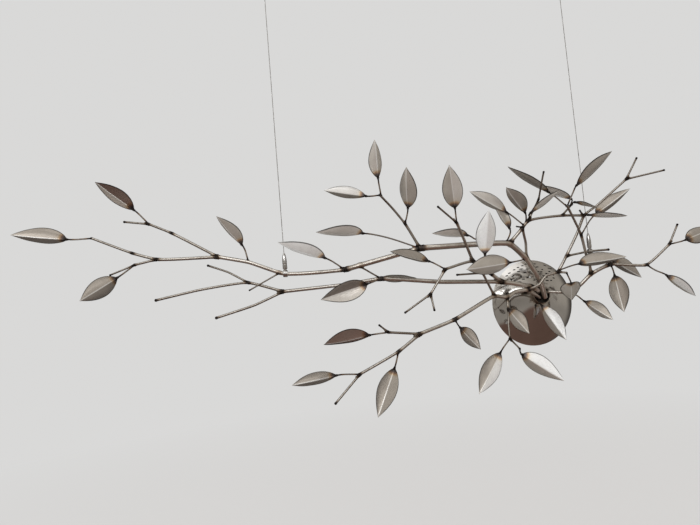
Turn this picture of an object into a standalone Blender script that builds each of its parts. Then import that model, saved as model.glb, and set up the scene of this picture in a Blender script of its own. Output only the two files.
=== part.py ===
"""Metal wall sculpture: a leafy branch of welded stainless steel.

Bent rods spring from a socket on a round domed wall plate.  Folded sheet-metal leaves sit on
short stems along the rods.  Two thin cables with grippers steady the branch from the ceiling.

The wall is the plane y = 0 and the branch stands out of it towards -y.  The origin is the
centre of the flat back of the wall plate.  Lengths in the plan are millimetres.  A rod runs
from joint to joint, and every step is (length, heading, lean):
heading is the direction along the wall in degrees, 0 to the right and 90 up,
lean is the angle out of the wall in degrees.
"""

import math

import bmesh
import bpy
from mathutils import Vector

MM = 0.001
FIT_GAP = 0.3              # clear space between neighbouring pieces
SHARP_EDGE = 35            # degrees: edges that turn more than this are left sharp

# Rods
THICK_ROD = 3.9            # rods above this radius have eight faces round, the rest six
SPACING = 50.0             # longest straight facet along a bent rod
TURN_STEP = 19.0           # a tighter bend gets another ring after this many degrees
STEM_TURN_STEP = 24.0      # the same for the thin stem of a leaf
BEND = 0.5                 # a bar is nearly straight between its joints: 1 would be a full arc
STEP_IN_RADIUS = 0.2       # a larger change of radius is a visible step at the joint
STEP_LENGTH = 3.0          # the step is drawn down over this length
END_ON = 0.45              # a child that leaves an end this much ahead (cosine) is butted on it
RING_CLEARANCE = 0.5       # the next ring stands at least this far beyond a cut foot

# Wall plate: a shallow polished dome over a flat back plate
PLATE_RADIUS = 100.0
DOME_DEPTH = 40.0
DOME_SHEET = 2.0
DOME_RINGS = 6
BACK_SHEET = 3.0
BACK_RADIUS = 93.0         # slips inside the dome's rim
SCREW_HOLE = 7.0
SCREW_CIRCLE = 62.0        # radius of the circle that the three screws stand on
SCREW_SIDES = 12
PLATE_SIDES = 36

# Socket on the dome that holds the rods
SOCKET_HEIGHT = 16.4       # above the middle of the plate
SOCKET_RADIUS = 20.0
SOCKET_BORE = 18.0
SOCKET_FRONT = 48.5        # distance of the mouth from the wall
SOCKET_FLOOR = 41.5
SOCKET_SIDES = 20
FEET = {                   # where the boughs stand in it; their tilted ends clear its floor
    "upper": (7.3, -47.0, 10.6),
    "middle": (-7.2, -44.8, 23.6),
    "lower": (-5.0, -45.2, 10.6),
    "right": (12.8, -42.4, 20.6),
}
LOW_LEAF_HEADING = 250.0   # where the lowest leaf is welded on the socket's side
LOW_LEAF_DEPTH = 45.0

# Leaves: length and flat width of the six cutting patterns
LEAF_SIZES = {
    "bud": (46, 23),
    "tiny": (64, 32),
    "small": (78, 38),
    "middle": (90, 43),
    "large": (102, 47),
    "longest": (114, 51),
}
LEAF_SHEET = 1.5
LEAF_BOW = 0.035           # rise of the bent midrib, as a share of the leaf's length
LEAF_BASE_POWER = 0.75     # outline: how fast the blade widens from its base
LEAF_TIP_POWER = 1.05      # outline: how fast it narrows to its tip
LEAF_STATIONS = (0.05, 0.15, 0.32, 0.55, 0.8, 1.0)
STEM_RADIUS = 1.6
TIP_HALF_WIDTH = 1.4

# Suspension cables with their grippers and ceiling fittings
CABLE_DIAMETER = 1.5
GRIPPER_RADIUS = 4.6
GRIPPER_NOSE = 14.0
GRIPPER_BARREL = 22.0
CLAMP_WIDTH = 9.0
CLAMP_WALL = 2.4
CLAMP_SIDES = 14
CLAMP_GAP = 0.6
BARREL_SIDES = 12
BARREL_SINK = 1.0          # the barrel is let into the clamp ring by this much
FITTING_RADIUS = 9.0
FITTING_HEIGHT = 22.0
CABLE_TOP_LEFT = 694.0
CABLE_TOP_RIGHT = 692.0

rods = {}                  # every rod's joints and ring radii, by rod name
node_rods = {}             # the rods that are welded into one node


def direction(heading, lean):
    """Unit vector of a heading along the wall and a lean out of it, both in degrees."""
    along = math.radians(heading)
    out = math.radians(lean)
    return Vector((math.cos(along) * math.cos(out), -math.sin(out), math.sin(along) * math.cos(out)))


def side_vector(axis):
    """A unit vector square to the axis."""
    side = axis.cross(Vector((0, -1, 0)))
    if side.length < 0.2:
        side = axis.cross(Vector((0, 0, 1)))
    return side.normalized()


class Rod:
    """A bent rod: joints joined by a smooth curve, each stretch with its own diameter."""

    def __init__(self, start, steps, diameter):
        self.joints = [Vector(start)]
        self.sizes = []
        for step in steps:
            length, heading, lean = step[:3]
            diameter = step[3] if len(step) > 3 else diameter
            self.joints.append(self.joints[-1] + direction(heading, lean) * length)
            self.sizes.append(diameter / 2)

    def tangent(self, number):
        """Direction of the rod at a joint."""
        last = len(self.joints) - 1
        before = self.joints[number] - self.joints[max(number - 1, 0)]
        after = self.joints[min(number + 1, last)] - self.joints[number]
        if number == 0:
            return after.normalized()
        if number == last:
            return before.normalized()
        return (before.normalized() + after.normalized()).normalized()

    def radius(self, number):
        """Radius at a joint: the thicker of the stretches that meet there."""
        near = self.sizes[max(number - 1, 0):number + 1]
        return max(near)

    def rings(self):
        """Centre, direction and radius of every ring along the rod."""
        out = []
        for i, radius in enumerate(self.sizes):
            start, end = self.joints[i], self.joints[i + 1]
            leave, arrive = self.tangent(i), self.tangent(i + 1)
            length = (end - start).length
            pull = length * BEND
            bend = math.degrees(leave.angle(arrive))
            count = max(1, math.ceil(length / SPACING), math.ceil(bend / TURN_STEP))
            if i and abs(self.sizes[i - 1] - radius) > STEP_IN_RADIUS:
                step_back = start + leave * min(STEP_LENGTH, length / 4)
                out.append((step_back, leave, radius))
            for k in range(0 if i == 0 else 1, count + 1):
                t = k / count
                out.append(hermite(start, end, leave * pull, arrive * pull, t) + (radius,))
        return out


def hermite(start, end, leave, arrive, t):
    """Point and direction on the smooth curve between two joints."""
    t2, t3 = t * t, t * t * t
    point = (start * (2 * t3 - 3 * t2 + 1) + leave * (t3 - 2 * t2 + t)
             + end * (3 * t2 - 2 * t3) + arrive * (t3 - t2))
    slope = (start * (6 * t2 - 6 * t) + leave * (3 * t2 - 4 * t + 1)
             + end * (6 * t - 6 * t2) + arrive * (3 * t2 - 2 * t))
    return point, slope.normalized()


class Seat:
    """The flat face that a piece is cut to, so that it meets its neighbour with the fit gap."""

    def __init__(self, point, normal):
        self.point = point
        self.normal = normal

    def travel(self, point, heading):
        """How far a point moves along a direction to reach the face."""
        return (self.point - point).dot(self.normal) / heading.dot(self.normal)


def spot_on(place):
    """Point, direction and radius on a rod: (rod, joint) or (rod, joint, slide along it).

    A spot that slides off a joint lies on the straight facet between two rings.
    """
    name, number = place[:2]
    parent = rods[name]
    joint = parent.joints[number]
    if len(place) == 2:
        return joint, parent.tangent(number), parent.radius(number)
    slide = place[2]
    ahead = parent.joints[number + (1 if slide > 0 else -1)]
    target = joint + (ahead - joint).normalized() * abs(slide)
    stations = parent.rings()
    best = None
    for (start, _, radius), (end, _, _) in zip(stations, stations[1:]):
        facet = end - start
        share = min(max((target - start).dot(facet) / facet.length_squared, 0), 1)
        point = start + facet * share
        if best is None or (target - point).length < best[0]:
            best = ((target - point).length, point, facet.normalized(), radius)
    return best[1:]


def seat_on(place, heading):
    """Start point and seat of a piece that springs from a spot on a rod in a direction."""
    joint, along, radius = spot_on(place)
    at_end = len(place) == 2 and place[1] == len(rods[place[0]].joints) - 1
    if at_end and heading.dot(along) > END_ON:
        return joint, Seat(joint + along * FIT_GAP, along)
    outward = (heading - along * heading.dot(along)).normalized()
    return joint, Seat(joint + outward * (radius + FIT_GAP), outward)


def square_ring(centre, axis, side, radius, sides):
    """Points of a round ring square to the axis."""
    up = side.cross(axis)
    ring = []
    for k in range(sides):
        turn = 2 * math.pi * k / sides
        ring.append(centre + side * (radius * math.cos(turn)) + up * (radius * math.sin(turn)))
    return ring


def cut_to_seat(rings, centres, seat):
    """Move the first ring onto its seat and drop the rings that would lie behind it."""
    heading = (centres[1] - centres[0]).normalized()
    first = [point + heading * seat.travel(point, heading) for point in rings[0]]
    reach = max((point - centres[0]).dot(heading) for point in first)
    clear = reach + RING_CLEARANCE
    kept = [i for i, centre in enumerate(centres) if (centre - centres[0]).dot(heading) > clear]
    return [first] + [rings[i] for i in kept]


def loft(name, rings):
    """Closed mesh through rings that all have the same number of points."""
    body = bmesh.new()
    rows = [[body.verts.new(point * MM) for point in ring] for ring in rings]
    count = len(rows[0])
    for lower, upper in zip(rows, rows[1:]):
        for k in range(count):
            following = (k + 1) % count
            body.faces.new((lower[k], lower[following], upper[following], upper[k]))
    body.faces.new(reversed(rows[0]))
    body.faces.new(rows[-1])
    return finish(name, body)


def finish(name, body):
    """Object from a bmesh, faces outward, shaded smooth with sharp edges kept."""
    if body.calc_volume(signed=True) < 0:
        bmesh.ops.reverse_faces(body, faces=body.faces)
    mesh = bpy.data.meshes.new(name)
    body.to_mesh(mesh)
    body.free()
    mesh.shade_smooth()
    mesh.set_sharp_from_angle(angle=math.radians(SHARP_EDGE))
    piece = bpy.data.objects.new(name, mesh)
    bpy.context.scene.collection.objects.link(piece)
    return piece


def bake(piece, helpers):
    """Keep the result of a piece's modifiers and remove the shapes they used."""
    graph = bpy.context.evaluated_depsgraph_get()
    result = bpy.data.meshes.new_from_object(piece.evaluated_get(graph))
    piece.modifiers.clear()
    piece.data = result
    for helper in helpers:
        bpy.data.objects.remove(helper)


def steel(name, color, roughness):
    """Stainless steel with its own tone."""
    material = bpy.data.materials.new(name)
    material.use_nodes = True
    shader = material.node_tree.nodes["Principled BSDF"]
    shader.inputs["Base Color"].default_value = (*color, 1)
    shader.inputs["Metallic"].default_value = 1.0
    shader.inputs["Roughness"].default_value = roughness
    return material


def dress(piece, color, roughness):
    """Give a piece a material of its own."""
    piece.data.materials.clear()
    piece.data.materials.append(steel(piece.name + "_steel", color, roughness))


def tube(name, rod, seat=None):
    """Round bar along a rod."""
    stations = rod.rings()
    thickest = max(radius for _, _, radius in stations)
    sides = 8 if thickest > THICK_ROD else 6
    side = side_vector(stations[0][1])
    rings, centres = [], []
    for centre, axis, radius in stations:
        side = (side - axis * side.dot(axis)).normalized()
        rings.append(square_ring(centre, axis, side, radius, sides))
        centres.append(centre)
    if seat:
        rings = cut_to_seat(rings, centres, seat)
    return loft(name, rings)


def grow(node, name, start, diameter, *steps):
    """Add a rod to a node; start is a point, or (rod, joint number) on another rod."""
    seat = None
    if isinstance(start[0], str):
        heading = direction(steps[0][1], steps[0][2])
        place, seat = seat_on(start, heading)
        if start[0] in node_rods.get(node, ()):
            seat = None
        start = place
    rods[name] = Rod(start, steps, diameter)
    node_rods.setdefault(node, []).append(name)
    return tube(name, rods[name], seat)


def weld(node, pieces):
    """Join a node's rods into one closed body."""
    base = pieces[0]
    base.name = node
    for other in pieces[1:]:
        other.hide_render = True
        other.display_type = 'WIRE'
        union = base.modifiers.new("weld_" + other.name, 'BOOLEAN')
        union.operation = 'UNION'
        union.object = other
    bake(base, pieces[1:])
    dress(base, (0.42, 0.40, 0.38), 0.32)


# ---------------------------------------------------------------- rods


def build_upper_bough():
    """The thick bough that arches out of the socket and runs to the left."""
    node = "upper_bough"
    weld(node, [
        grow(node, "upper", FEET["upper"], 12,
             (39.6, 118.2, 32.1), (81, 130, 25), (54, 139, 10), (43.7, 175.6, 0), (112, 180, 0),
             (43, 180, -5), (54.8, 191.4, -4.1, 10.6), (80.1, 191.4, -4.1), (29.5, 191.4, -4.1),
             (125.1, 179.4, -4.8, 8), (74.9, 157.4, -4.9, 7.6), (64, 165, -10)),
        grow(node, "upper_thin_twig", ("upper", 10, 8), 3, (72, 206, -5)),
        grow(node, "upper_tie", ("upper", 8), 3.4, (47.2, 325.8, 1.7)),
    ])


def build_left_fork():
    """Two limbs and their twigs beyond the end of the upper bough."""
    node = "left_fork"
    weld(node, [
        grow(node, "left_low", ("upper", 12), 6.4,
             (121, 178, -5), (51, 161, -10, 5.6), (86, 155, -5, 4.8)),
        grow(node, "left_high", ("upper", 12), 5.6,
             (105, 148, -5), (48, 154, 0, 4.8)),
        grow(node, "left_hanging", ("left_low", 1), 4.6, (44, 191, 0)),
        grow(node, "left_high_twig", ("left_high", 2), 4, (51, 170, -10)),
        grow(node, "left_hanging_twig", ("left_hanging", 1), 3.4, (52, 199, -5)),
    ])


def build_middle_bough():
    """The long straight bough under the upper one, with three bare prongs."""
    node = "middle_bough"
    weld(node, [
        grow(node, "middle", FEET["middle"], 9.4,
             (18.3, 156.4, 62.3), (18.3, 148.1, 6.2), (37, 169, 21.4, 10), (46, 169, 5), (143.8, 176, 5, 9),
             (129.3, 172.9, 0), (66, 185, 0, 8), (138, 182, -5, 7)),
        grow(node, "middle_prong", ("middle", 8), 5.6,
             (73, 161, -5), (97, 184, -5, 5), (90, 189, -5)),
        grow(node, "middle_prong_high", ("middle_prong", 1), 4,
             (48, 147, -15), (44, 157, -5)),
        grow(node, "middle_prong_low", ("middle", 8), 5,
             (63, 201, -5), (82, 194, -5)),
    ])


def build_spur():
    """A spur that crosses in front of the upper bough, with a hanging fork."""
    node = "spur"
    weld(node, [
        grow(node, "spur_foot", ("middle", 4), 8,
             (38, 145, 20), (55, 149, 20, 7), (69, 191, 10, 5.6)),
        grow(node, "spur_up", ("spur_foot", 2), 6, (45, 118, 25), (50, 115, 15)),
        grow(node, "spur_up_twig", ("spur_up", 2), 4, (54, 140, 10)),
        grow(node, "spur_down", ("spur_foot", 3), 5, (61, 233, 0)),
        grow(node, "spur_down_left", ("spur_down", 1), 4, (66, 211, -5)),
        grow(node, "spur_down_right", ("spur_down", 1), 4, (35, 275, 10)),
    ])


def build_high_twig():
    """The twig that rises from the thick weld of the upper bough."""
    node = "high_twig"
    weld(node, [
        grow(node, "high", ("upper", 6), 5.6, (60.4, 118.7, 4.8), (43, 127, 5, 4.6), (37, 133, 10)),
    ])


def build_lower_bough():
    """The bough that curves down to the left, with its riser and forks."""
    node = "lower_bough"
    weld(node, [
        grow(node, "lower", FEET["lower"], 8,
             (21.7, 151.7, 33), (26.6, 154.5, 24.3), (33.2, 183, 8), (28, 202, 20), (37, 173, 20),
             (73, 201, 15), (42, 203, 10), (86, 195, 10, 7.4)),
        grow(node, "lower_high_fork", ("lower", 8), 5, (69, 172, 10)),
        grow(node, "lower_high_twig", ("lower_high_fork", 1), 3.6, (24, 138, 0)),
        grow(node, "lower_low_fork", ("lower", 8), 6.4, (59, 211, 10), (89, 204, 0, 5.4)),
        grow(node, "lower_low_twig", ("lower_low_fork", 2), 4.4, (74, 223, 5)),
        grow(node, "lower_riser", ("lower", 5), 5, (60, 119, 15)),
        grow(node, "lower_riser_twig", ("lower_riser", 1), 4, (60, 180, 5)),
    ])


def build_drop_twig():
    """A thin twig that hangs in front of the plate."""
    node = "drop_twig"
    weld(node, [
        grow(node, "drop_arm", ("lower", 4), 4.6, (26, 265, 10)),
        grow(node, "drop", ("drop_arm", 1), 4, (37, 257, 15), (30, 260, 20)),
        grow(node, "drop_foot", ("drop", 2), 3.6, (28, 306, 15)),
    ])


def build_right_bough():
    """The bough to the right, with the limb that climbs from it."""
    node = "right_bough"
    weld(node, [
        grow(node, "right", FEET["right"], 6.4,
             (15.7, 60.3, 84.1), (36.3, 352.4, 28.6), (32, 26, 25, 8), (34, 44, 20), (43, 26, 25),
             (76, 354, 20, 6), (65, 39, 15, 5)),
        grow(node, "right_twig", ("right", 7), 4, (48, 62, 5)),
        grow(node, "right_climb", ("right", 4), 6,
             (19, 101, 15), (30, 112, 15), (44, 105, 10), (78, 124, 20, 5)),
    ])


def build_crossing_stem():
    """The stem that crosses the mouth of the socket and climbs to the right."""
    node = "crossing_stem"
    weld(node, [
        grow(node, "crossing", ("lower", 2), 5.4,
             (26.8, 24.4, 31.5), (25.4, 47.2, 7.9), (26.8, 13.7, 9), (40, 57, 10, 6), (57, 61, 10),
             (41, 68, 15), (31, 38, 30, 5), (83, 40, 20, 4.6)),
        grow(node, "crossing_end_high", ("crossing", 8), 3.8, (50, 63, 15)),
        grow(node, "crossing_end_low", ("crossing", 8), 3.8, (79, 8, 20)),
        grow(node, "clamp_twig", ("crossing", 4), 4.6, (51, 7, 10), (47, 1, 5)),
        grow(node, "shield_twig", ("crossing", 3), 4.6, (19, 347, 35)),
    ])


def build_crown():
    """The riser above the arch and the rod that crosses the crown."""
    node = "crown"
    weld(node, [
        grow(node, "crown_riser", ("upper", 2), 5.4,
             (35, 91, 10), (36, 105, 20), (17, 49, 15, 6.4), (77, 5, 5, 5.4), (56, 358, -5)),
        grow(node, "crown_lead", ("upper", 3), 7, (43, 46, 10)),
        grow(node, "crown_stub", ("crown_riser", 2), 3, (16, 170, 5)),
        grow(node, "crown_twig", ("crown_riser", 4), 4, (46, 35, -21)),
        grow(node, "crown_tip", ("crown_riser", 5, -3), 3.4, (16, 133, 20)),
        grow(node, "crown_pin", ("crown_riser", 3), 4.4,
             (18, 61, 9), (37.5, 80, 48), (32.5, 98, 42, 3.6), (30, 83, 23)),
    ])


# ---------------------------------------------------------------- leaves


def half_width(width, t):
    """Half width of a leaf blade at a share t of its length."""
    widest = LEAF_BASE_POWER / (LEAF_BASE_POWER + LEAF_TIP_POWER)
    base = (t / widest) ** LEAF_BASE_POWER
    tip = ((1 - t) / (1 - widest)) ** LEAF_TIP_POWER
    return max(width / 2 * base * tip, TIP_HALF_WIDTH)


def blade_ring(centre, frame, fold, width):
    """Six points round a folded blade: left, middle and right, on both faces of the sheet."""
    side, normal = frame
    half = LEAF_SHEET / 2
    left = side * math.cos(fold) - normal * math.sin(fold)
    right = side * -math.cos(fold) - normal * math.sin(fold)
    left_up = (side * math.sin(fold) + normal * math.cos(fold)) * half
    right_up = (side * -math.sin(fold) + normal * math.cos(fold)) * half
    middle_up = normal * (half / math.cos(fold))
    left_edge, right_edge = centre + left * width, centre + right * width
    return [left_edge + left_up, centre + middle_up, right_edge + right_up,
            right_edge - right_up, centre - middle_up, left_edge - left_up]


def stem_rings(stations, side):
    """Six points round each station of a leaf's stem, lined up with the blade at its end."""
    rings = []
    for centre, axis, _ in reversed(stations):
        side = (side - axis * side.dot(axis)).normalized()
        up = axis.cross(side)
        ring = []
        for k in range(6):
            turn = math.radians(30 + 60 * k)
            spoke = side * math.cos(turn) + up * math.sin(turn)
            ring.append(centre + spoke * STEM_RADIUS)
        rings.insert(0, ring)
    return rings


def leaf(name, on, stem, blade, size, fold, roll):
    """A folded leaf on its stem: blade is (heading, lean); fold and roll are in degrees."""
    length, width = LEAF_SIZES[size]
    axis = direction(*blade)
    front = (Vector((0, -1, 0)) + axis * axis.y).normalized()
    left = front.cross(axis)
    turn = math.radians(roll)
    normal = front * math.cos(turn) + left * math.sin(turn)
    side = left * math.cos(turn) - front * math.sin(turn)
    frame = (side, normal)
    start, seat = seat_on(on, direction(stem[0][1], stem[0][2])) if on else socket_side()
    path = Rod(start, stem, 2 * STEM_RADIUS)
    stations = stem_stations(path, axis)
    rings = cut_to_seat(stem_rings(stations, side), [spot[0] for spot in stations], seat)
    base = path.joints[-1]
    crest = normal * (LEAF_BOW * length * (1 if fold > 0 else -1))
    for t in LEAF_STATIONS:
        centre = base + axis * (length * t) + crest * (4 * t * (1 - t))
        rings.append(blade_ring(centre, frame, math.radians(fold), half_width(width, t)))
    piece = loft("leaf_" + name, rings)
    dress(piece, (0.50, 0.47, 0.44), 0.24)
    return piece


def stem_stations(path, axis):
    """Stations along a leaf's stem, which ends in the direction of the blade."""
    out = []
    last = len(path.sizes) - 1
    for i in range(last + 1):
        start, end = path.joints[i], path.joints[i + 1]
        leave = path.tangent(i)
        arrive = axis if i == last else path.tangent(i + 1)
        length = (end - start).length
        bend = math.degrees(leave.angle(arrive))
        count = max(1, math.ceil(length / SPACING), math.ceil(bend / STEM_TURN_STEP))
        for k in range(0 if i == 0 else 1, count + 1):
            out.append(hermite(start, end, leave * length, arrive * length, k / count) + (0,))
    return out


def socket_side():
    """Start point and seat of the leaf that is welded under the socket."""
    outward = direction(LOW_LEAF_HEADING, 0)
    centre = Vector((0, -LOW_LEAF_DEPTH, SOCKET_HEIGHT))
    face = centre + outward * (SOCKET_RADIUS + FIT_GAP)
    return face, Seat(face, outward)


def build_leaves():
    """Every leaf, from the left end of the sculpture to the right."""
    leaf("tail", ("left_low", 3), [(47, 179, 0)], (172, 4), "large", 46, 24)
    leaf("left_top", ("left_high_twig", 0), [(41, 132, 0)], (140, 8), "middle", -45, -15)
    leaf("left_bottom", ("left_hanging_twig", 0), [(41, 215, 5)], (217, 37), "middle", 30, 15)
    leaf("left_upright", ("upper", 11), [(38, 107, 0)], (129, 21), "small", 40, 50)
    leaf("cable_left", ("upper", 9), [(48.2, 147.3, 9.2)], (159, 9), "large", 26, 65)
    leaf("arch_left", ("upper", 6), [(83, 160, 5), (43.6, 168.2, 4.4)], (177, 12), "large", 25, 70)
    leaf("high_left", ("high", 3), [(30, 182, 5)], (172, 11), "middle", 55, 25)
    leaf("high_top", ("high", 3, -4), [(38.5, 97.3, 9.1)], (97, 25), "small", 43, -2)
    leaf("high_low", ("high", 1), [(33, 78, 15)], (98, 34), "middle", 25, 45)
    leaf("spur_back", ("spur_down", 0), [(37.3, 148.5, -9.7)], (164, 11), "middle", -25, -50)
    leaf("spur_top", ("spur_up_twig", 0), [(30, 95, 10)], (101, 22), "middle", 15, 20)
    leaf("arch_middle", ("upper", 4), [(36, 162, 5), (18.8, 152.9, 9.6)], (173, -2), "small", 25, 70)
    leaf("riser_front", ("lower_riser_twig", 0), [(25, 85, 25), (16, 88, 20)], (95, 34), "large", 30, 15)
    leaf("arch_front", ("upper", 2), [(50.3, 187.3, 21.2)], (185, 14), "longest", 35, 15)
    leaf("middle_back", ("middle", 6), [(11.7, 47.7, -65.9)], (354, 1), "small", -15, -70)
    leaf("middle_front", ("middle", 6), [(36, 196, 20)], (194, 4), "large", -30, 10)
    leaf("fork_high", ("lower_high_twig", 0), [(38, 183, 0)], (185, 19), "large", -35, -55)
    leaf("fork_middle", ("lower_low_twig", 0), [(48, 176, 10)], (185, 12), "middle", 56, 5)
    leaf("fork_low", ("lower_low_fork", 1), [(33, 249, 5)], (241, 16), "large", 35, -15)
    leaf("lower_small", ("lower", 7), [(20, 293, 20)], (298, 38), "tiny", 20, -40)
    leaf("drop_left", ("drop_foot", 0), [(40, 222, 15)], (230, 12), "large", 35, -15)
    leaf("drop_right", ("drop_foot", 1), [(12.8, 278.5, 14.5)], (322, 11), "large", 35, -25)
    leaf("drop_small", ("drop", 0, 2.5), [(11.6, 160.3, 66.3)], (284, 47), "small", 30, -45)
    leaf("socket_low", None, [(13.1, 251.4, 66.6)], (279, 41), "large", 45, -45)
    leaf("shield", ("shield_twig", 1), [(25, 279.1, 16.3)], (215, 52), "large", -28, -68)
    leaf("right_low_inner", ("right", 2), [(21, 333, 30), (22, 314, 15)], (298, 52), "small", 45, -50)
    leaf("right_low_middle", ("right", 5), [(5, 300, 35), (21, 278, 10)], (259, 26), "middle", 20, -48)
    leaf("right_back", ("right", 5), [(18, 41, -20)], (330, -9), "middle", 50, -40)
    leaf("centre_right", ("crossing", 3, 4), [(54.2, 21.5, 64.8)], (4, 0), "longest", 55, -20)
    leaf("right_low_outer", ("right", 6), [(21, 319, 15), (26, 330, 10)], (320, 4), "small", 20, -85)
    leaf("right_end", ("right_twig", 0), [(39.2, 10.4, 5.1)], (16, 1), "small", 15, 20)
    leaf("climb_top", ("right_climb", 4), [(32, 66, 15), (15, 62, 15)], (38, 2), "longest", 21, -55)
    leaf("climb_right", ("right_climb", 3), [(68.1, 42.6, -9.7)], (31, 3), "large", 55, -5)
    leaf("crown_end", ("crown_riser", 5), [(8, 357, 50)], (355, 4), "middle", 15, -90)
    leaf("climb_left", ("right_climb", 4, -3), [(54.4, 140.4, 1.9)], (144, -4), "large", 16, 98)
    leaf("twig_left", ("crown_twig", 1, -7), [(18, 70, -6)], (153, -8), "middle", 15, 90)
    leaf("crown_left", ("crown_riser", 2, 5), [(49.5, 142.5, 5.2)], (154, 15), "large", 55, 40)
    leaf("crown_top", ("crown_riser", 3, -5), [(21.7, 97.8, 13.8)], (142, 32), "middle", 40, 60)
    leaf("crown_back", ("upper", 3, 7), [(33, 75, 10)], (111, -15), "tiny", 35, 75)
    leaf("pin_front", ("crown_pin", 0, 9), [(28.1, 151.2, 65)], (34, 11), "small", 15, -65)
    leaf("twig_right", ("crown_twig", 1), [(9, 42, 30)], (336, 26), "bud", 15, -90)


# ---------------------------------------------------------------- wall plate


def dome_depth(x, z, sheet=0):
    """Depth of the domed plate's outer face in front of the wall, less a thickness of sheet."""
    ball = (PLATE_RADIUS ** 2 + DOME_DEPTH ** 2) / (2 * DOME_DEPTH)
    return math.sqrt((ball - sheet) ** 2 - x * x - z * z) - (ball - DOME_DEPTH)


def round_ring(radius, depth, sides, height=0.0):
    """Ring of points round the plate's axis, in front of the wall."""
    ring = []
    for k in range(sides):
        turn = 2 * math.pi * k / sides
        ring.append(Vector((radius * math.cos(turn), -depth, height + radius * math.sin(turn))))
    return ring


def close_with_point(body, row, point, flip):
    """Close a row of vertices with triangles to a middle point."""
    middle = body.verts.new(point * MM)
    for k in range(len(row)):
        following = (k + 1) % len(row)
        order = (row[k], row[following], middle)
        body.faces.new(order if flip else tuple(reversed(order)))


def revolved(name, rings, first, last):
    """Closed body through rings, closed at each end with a middle point."""
    body = bmesh.new()
    rows = [[body.verts.new(point * MM) for point in ring] for ring in rings]
    count = len(rows[0])
    for lower, upper in zip(rows, rows[1:]):
        for k in range(count):
            following = (k + 1) % count
            body.faces.new((lower[k], lower[following], upper[following], upper[k]))
    close_with_point(body, rows[0], first, False)
    close_with_point(body, rows[-1], last, True)
    return finish(name, body)


def build_dome():
    """Domed cover: a thin polished shell, open at the back."""
    ball = (PLATE_RADIUS ** 2 + DOME_DEPTH ** 2) / (2 * DOME_DEPTH)
    rim_inside = math.sqrt((ball - DOME_SHEET) ** 2 - (ball - DOME_DEPTH) ** 2)
    rings = []
    for k in range(1, DOME_RINGS + 1):
        radius = PLATE_RADIUS * k / DOME_RINGS
        rings.append(round_ring(radius, dome_depth(radius, 0), PLATE_SIDES))
    for k in range(DOME_RINGS, 0, -1):
        radius = rim_inside * k / DOME_RINGS
        rings.append(round_ring(radius, dome_depth(radius, 0, DOME_SHEET), PLATE_SIDES))
    crown = Vector((0, -DOME_DEPTH, 0))
    hollow = Vector((0, DOME_SHEET - DOME_DEPTH, 0))
    piece = revolved("wall_dome", rings, crown, hollow)
    dress(piece, (0.60, 0.60, 0.61), 0.10)


def build_back_plate():
    """Flat disc against the wall, with three screw holes."""
    rings = [round_ring(BACK_RADIUS, 0, PLATE_SIDES), round_ring(BACK_RADIUS, BACK_SHEET, PLATE_SIDES)]
    plate = loft("back_plate", rings)
    cutters = []
    for k in range(3):
        turn = math.radians(90 + 120 * k)
        centre = Vector((SCREW_CIRCLE * math.cos(turn), 0, SCREW_CIRCLE * math.sin(turn)))
        ring = [[point + centre for point in round_ring(SCREW_HOLE / 2, depth, SCREW_SIDES)]
                for depth in (-1, BACK_SHEET + 1)]
        cutter = loft("screw_hole_cutter", ring)
        cutter.hide_render = True
        cutter.display_type = 'WIRE'
        hole = plate.modifiers.new("screw_hole", 'BOOLEAN')
        hole.operation = 'DIFFERENCE'
        hole.object = cutter
        cutters.append(cutter)
    bake(plate, cutters)
    dress(plate, (0.34, 0.34, 0.35), 0.5)


def build_socket():
    """Round cup on the dome that the four boughs are welded into."""
    def follow(radius, gap):
        ring = round_ring(radius, 0, SOCKET_SIDES, SOCKET_HEIGHT)
        return [Vector((p.x, -dome_depth(p.x, p.z) - gap, p.z)) for p in ring]

    rings = [
        follow(SOCKET_RADIUS / 2, 2 * FIT_GAP),
        follow(SOCKET_RADIUS, FIT_GAP),
        round_ring(SOCKET_RADIUS, SOCKET_FRONT, SOCKET_SIDES, SOCKET_HEIGHT),
        round_ring(SOCKET_BORE, SOCKET_FRONT, SOCKET_SIDES, SOCKET_HEIGHT),
        round_ring(SOCKET_BORE, SOCKET_FLOOR, SOCKET_SIDES, SOCKET_HEIGHT),
    ]
    under = Vector((0, -dome_depth(0, SOCKET_HEIGHT) - 2 * FIT_GAP, SOCKET_HEIGHT))
    floor = Vector((0, -SOCKET_FLOOR, SOCKET_HEIGHT))
    piece = revolved("socket", rings, under, floor)
    dress(piece, (0.46, 0.42, 0.38), 0.28)


# ---------------------------------------------------------------- cables


def upright_turning(name, foot, profile):
    """Body turned about an upright axis; profile is (height, radius) from the foot up."""
    rings = []
    for height, radius in profile:
        ring = []
        for k in range(BARREL_SIDES):
            turn = 2 * math.pi * k / BARREL_SIDES
            ring.append(foot + Vector((radius * math.cos(turn), radius * math.sin(turn), height)))
        rings.append(ring)
    return loft(name, rings)


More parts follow.
